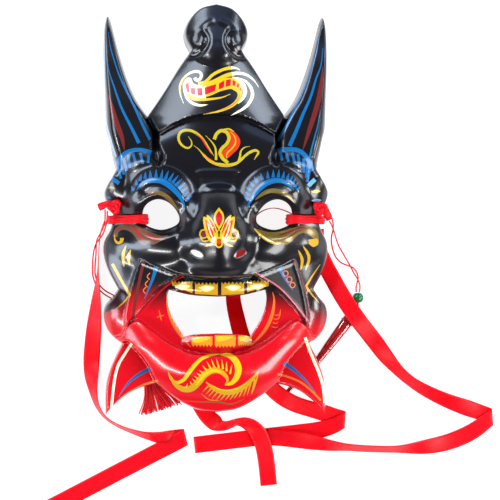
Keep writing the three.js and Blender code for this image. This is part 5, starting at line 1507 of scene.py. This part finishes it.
def sleeve_mesh(name):
    """A thin film bent round the tassel, open at both ends."""
    bm = bmesh.new()
    line = spline([s[:3] for s in RIGHT_TASSEL[SLEEVE_FROM:]], 8)
    sizes = spline([s[3:] for s in RIGHT_TASSEL[SLEEVE_FROM:]], 8)
    run = np.gradient(line, axis=0)
    rings = []
    for point, (w, h), way in zip(line, sizes, run):
        over = Vector((way[1], -way[0], 0)).normalized()
        up = over.cross(Vector(way)).normalized()
        for grow in (SLEEVE_GAP + SLEEVE_FILM, SLEEVE_GAP):
            ring = []
            for k in range(SLEEVE_SIDES):
                angle = 2 * math.pi * k / SLEEVE_SIDES
                reach = over * (w + grow) * math.cos(angle) + up * (h + grow) * math.sin(angle)
                ring.append(bm.verts.new((Vector(point) + reach) * MM))
            rings.append(ring)
    outer, inner = rings[0::2], rings[1::2]
    strips = list(zip(outer, outer[1:])) + list(zip(inner[1:], inner))
    strips += [(inner[0], outer[0]), (outer[-1], inner[-1])]
    for near, far in strips:
        for k in range(SLEEVE_SIDES):
            following = (k + 1) % SLEEVE_SIDES
            face = bm.faces.new((near[k], far[k], far[following], near[following]))
            face.smooth = True
    return closed_mesh(name, bm)


# Clear polypropylene film, blown thin: hardly seen but for its white glints.
clear_film, _, film_shader = material("clear_plastic_film")
film_shader.inputs["Base Color"].default_value = linear("#ffffff")
film_shader.inputs["Roughness"].default_value = 0.06
film_shader.inputs["IOR"].default_value = 1.45
film_shader.inputs["Transmission Weight"].default_value = 1.0
hang("tassel_sleeve_right", sleeve_mesh("sleeve_film"), clear_film)

# The pendant cords. From each knot two strands of thin two-ply rayon cord hang down over the cheek,
# lie on the table and go into the bead.
CORD_RADIUS = 0.55
PLY_SWELL = 1.05                      # how far the plies stand out past that, and
PLY_WAIST = 0.22                      # how deep the cord is drawn in between them
PLY_TURN = 3.2                        # length in which the two plies wind round once
CORD_STEP = 0.4                       # spacing of the points along a cord
CORD_OFF_TABLE = 0.15
LEFT_STRAND_A = [
    (-78.6, -0.8, 25.6), (-78.6, -5, 23), (-79, -9.6, 19.6), (-80.4, -14, 17), (-82.4, -18, 15),
    (-84.6, -22, 12.4), (-85.2, -26.4, 8), (-85.4, -31, 3.2), (-85.8, -36, 0.9), (-86.2, -41.7, 0.6),
    (-86, -47.2, 0.6), (-83.8, -53.2, 0.6), (-79.4, -58, 0.6), (-73.4, -61.4, 0.7), (-68, -64, 1.6),
    (-63.4, -66.9, 3.4),
]
LEFT_STRAND_B = [
    (-77, -1.6, 26.4), (-77.2, -7, 24.4), (-78.4, -13, 21.4), (-80.6, -18.4, 18), (-83.2, -22, 15),
    (-85.6, -25.6, 11), (-87, -30.4, 5.4), (-87.8, -36, 1.4), (-88, -41.6, 0.6), (-87.6, -48.4, 0.6),
    (-84.8, -55.4, 0.6), (-80, -60.6, 0.6), (-74, -64, 0.7), (-68.4, -66, 1.7), (-63.9, -68.4, 3.4),
]
RIGHT_STRAND_A = [
    (78.4, 1.6, 26.4), (81.4, -4, 22.4), (83.9, -9.9, 14.6), (84.6, -15.2, 7.4), (84, -19.4, 3),
    (84.3, -24.2, 0.9), (85.6, -30.2, 0.6), (87.8, -35, 0.6), (91.3, -38.4, 0.6), (96.4, -40.6, 0.6),
    (99.9, -42.1, 0.6), (102.5, -45.2, 0.6), (103.6, -49.3, 0.6), (103, -52.6, 0.7), (102, -56, 1.7),
    (101.9, -59.4, 3.4),
]
RIGHT_STRAND_B = [
    (80.6, -8.8, 22.6), (83, -12.2, 17), (85.2, -16.6, 10.4), (87.4, -21.6, 4.4), (89.6, -26.4, 1),
    (92.8, -32, 0.7), (95.6, -37, 1.7), (97.4, -40.2, 2.6), (99, -43.2, 1.8), (100.8, -46.6, 1.6),
    (103.2, -50.6, 2.5), (104.6, -54.4, 2.2), (104.6, -57.4, 2.6), (104.1, -59.6, 3.6),
]


def two_ply(angle, at):
    """The waist between two twisted plies."""
    return 1 - PLY_WAIST + PLY_WAIST * abs(math.cos(angle - 2 * math.pi * at / PLY_TURN))


def cord_mesh(name, route):
    """A twisted cord along its route, and the route as points in metres."""
    bm = bmesh.new()
    uv = bm.loops.layers.uv.new("weave")
    path = evenly(route, CORD_STEP)
    path[:, 2] = np.maximum(path[:, 2], CORD_RADIUS + CORD_OFF_TABLE)
    tube_into(bm, uv, path, [(CORD_RADIUS * PLY_SWELL,) * 2] * len(path), 10, wave=two_ply)
    return closed_mesh(name, bm), [Vector(point) * MM for point in path]


STRANDS = {
    "pendant_cord_left_a": (LEFT_STRAND_A, "left"),
    "pendant_cord_left_b": (LEFT_STRAND_B, "left"),
    "pendant_cord_right_a": (RIGHT_STRAND_A, "right"),
    "pendant_cord_right_b": (RIGHT_STRAND_B, "right"),
}
for strand_name, (strand_route, strand_side) in STRANDS.items():
    strand_mesh, strand_path = cord_mesh(strand_name + "_ply", strand_route)
    strand = show(strand_name + "_ply", strand_mesh, red_thread)
    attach(strand, "root")
    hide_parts(strand_name)
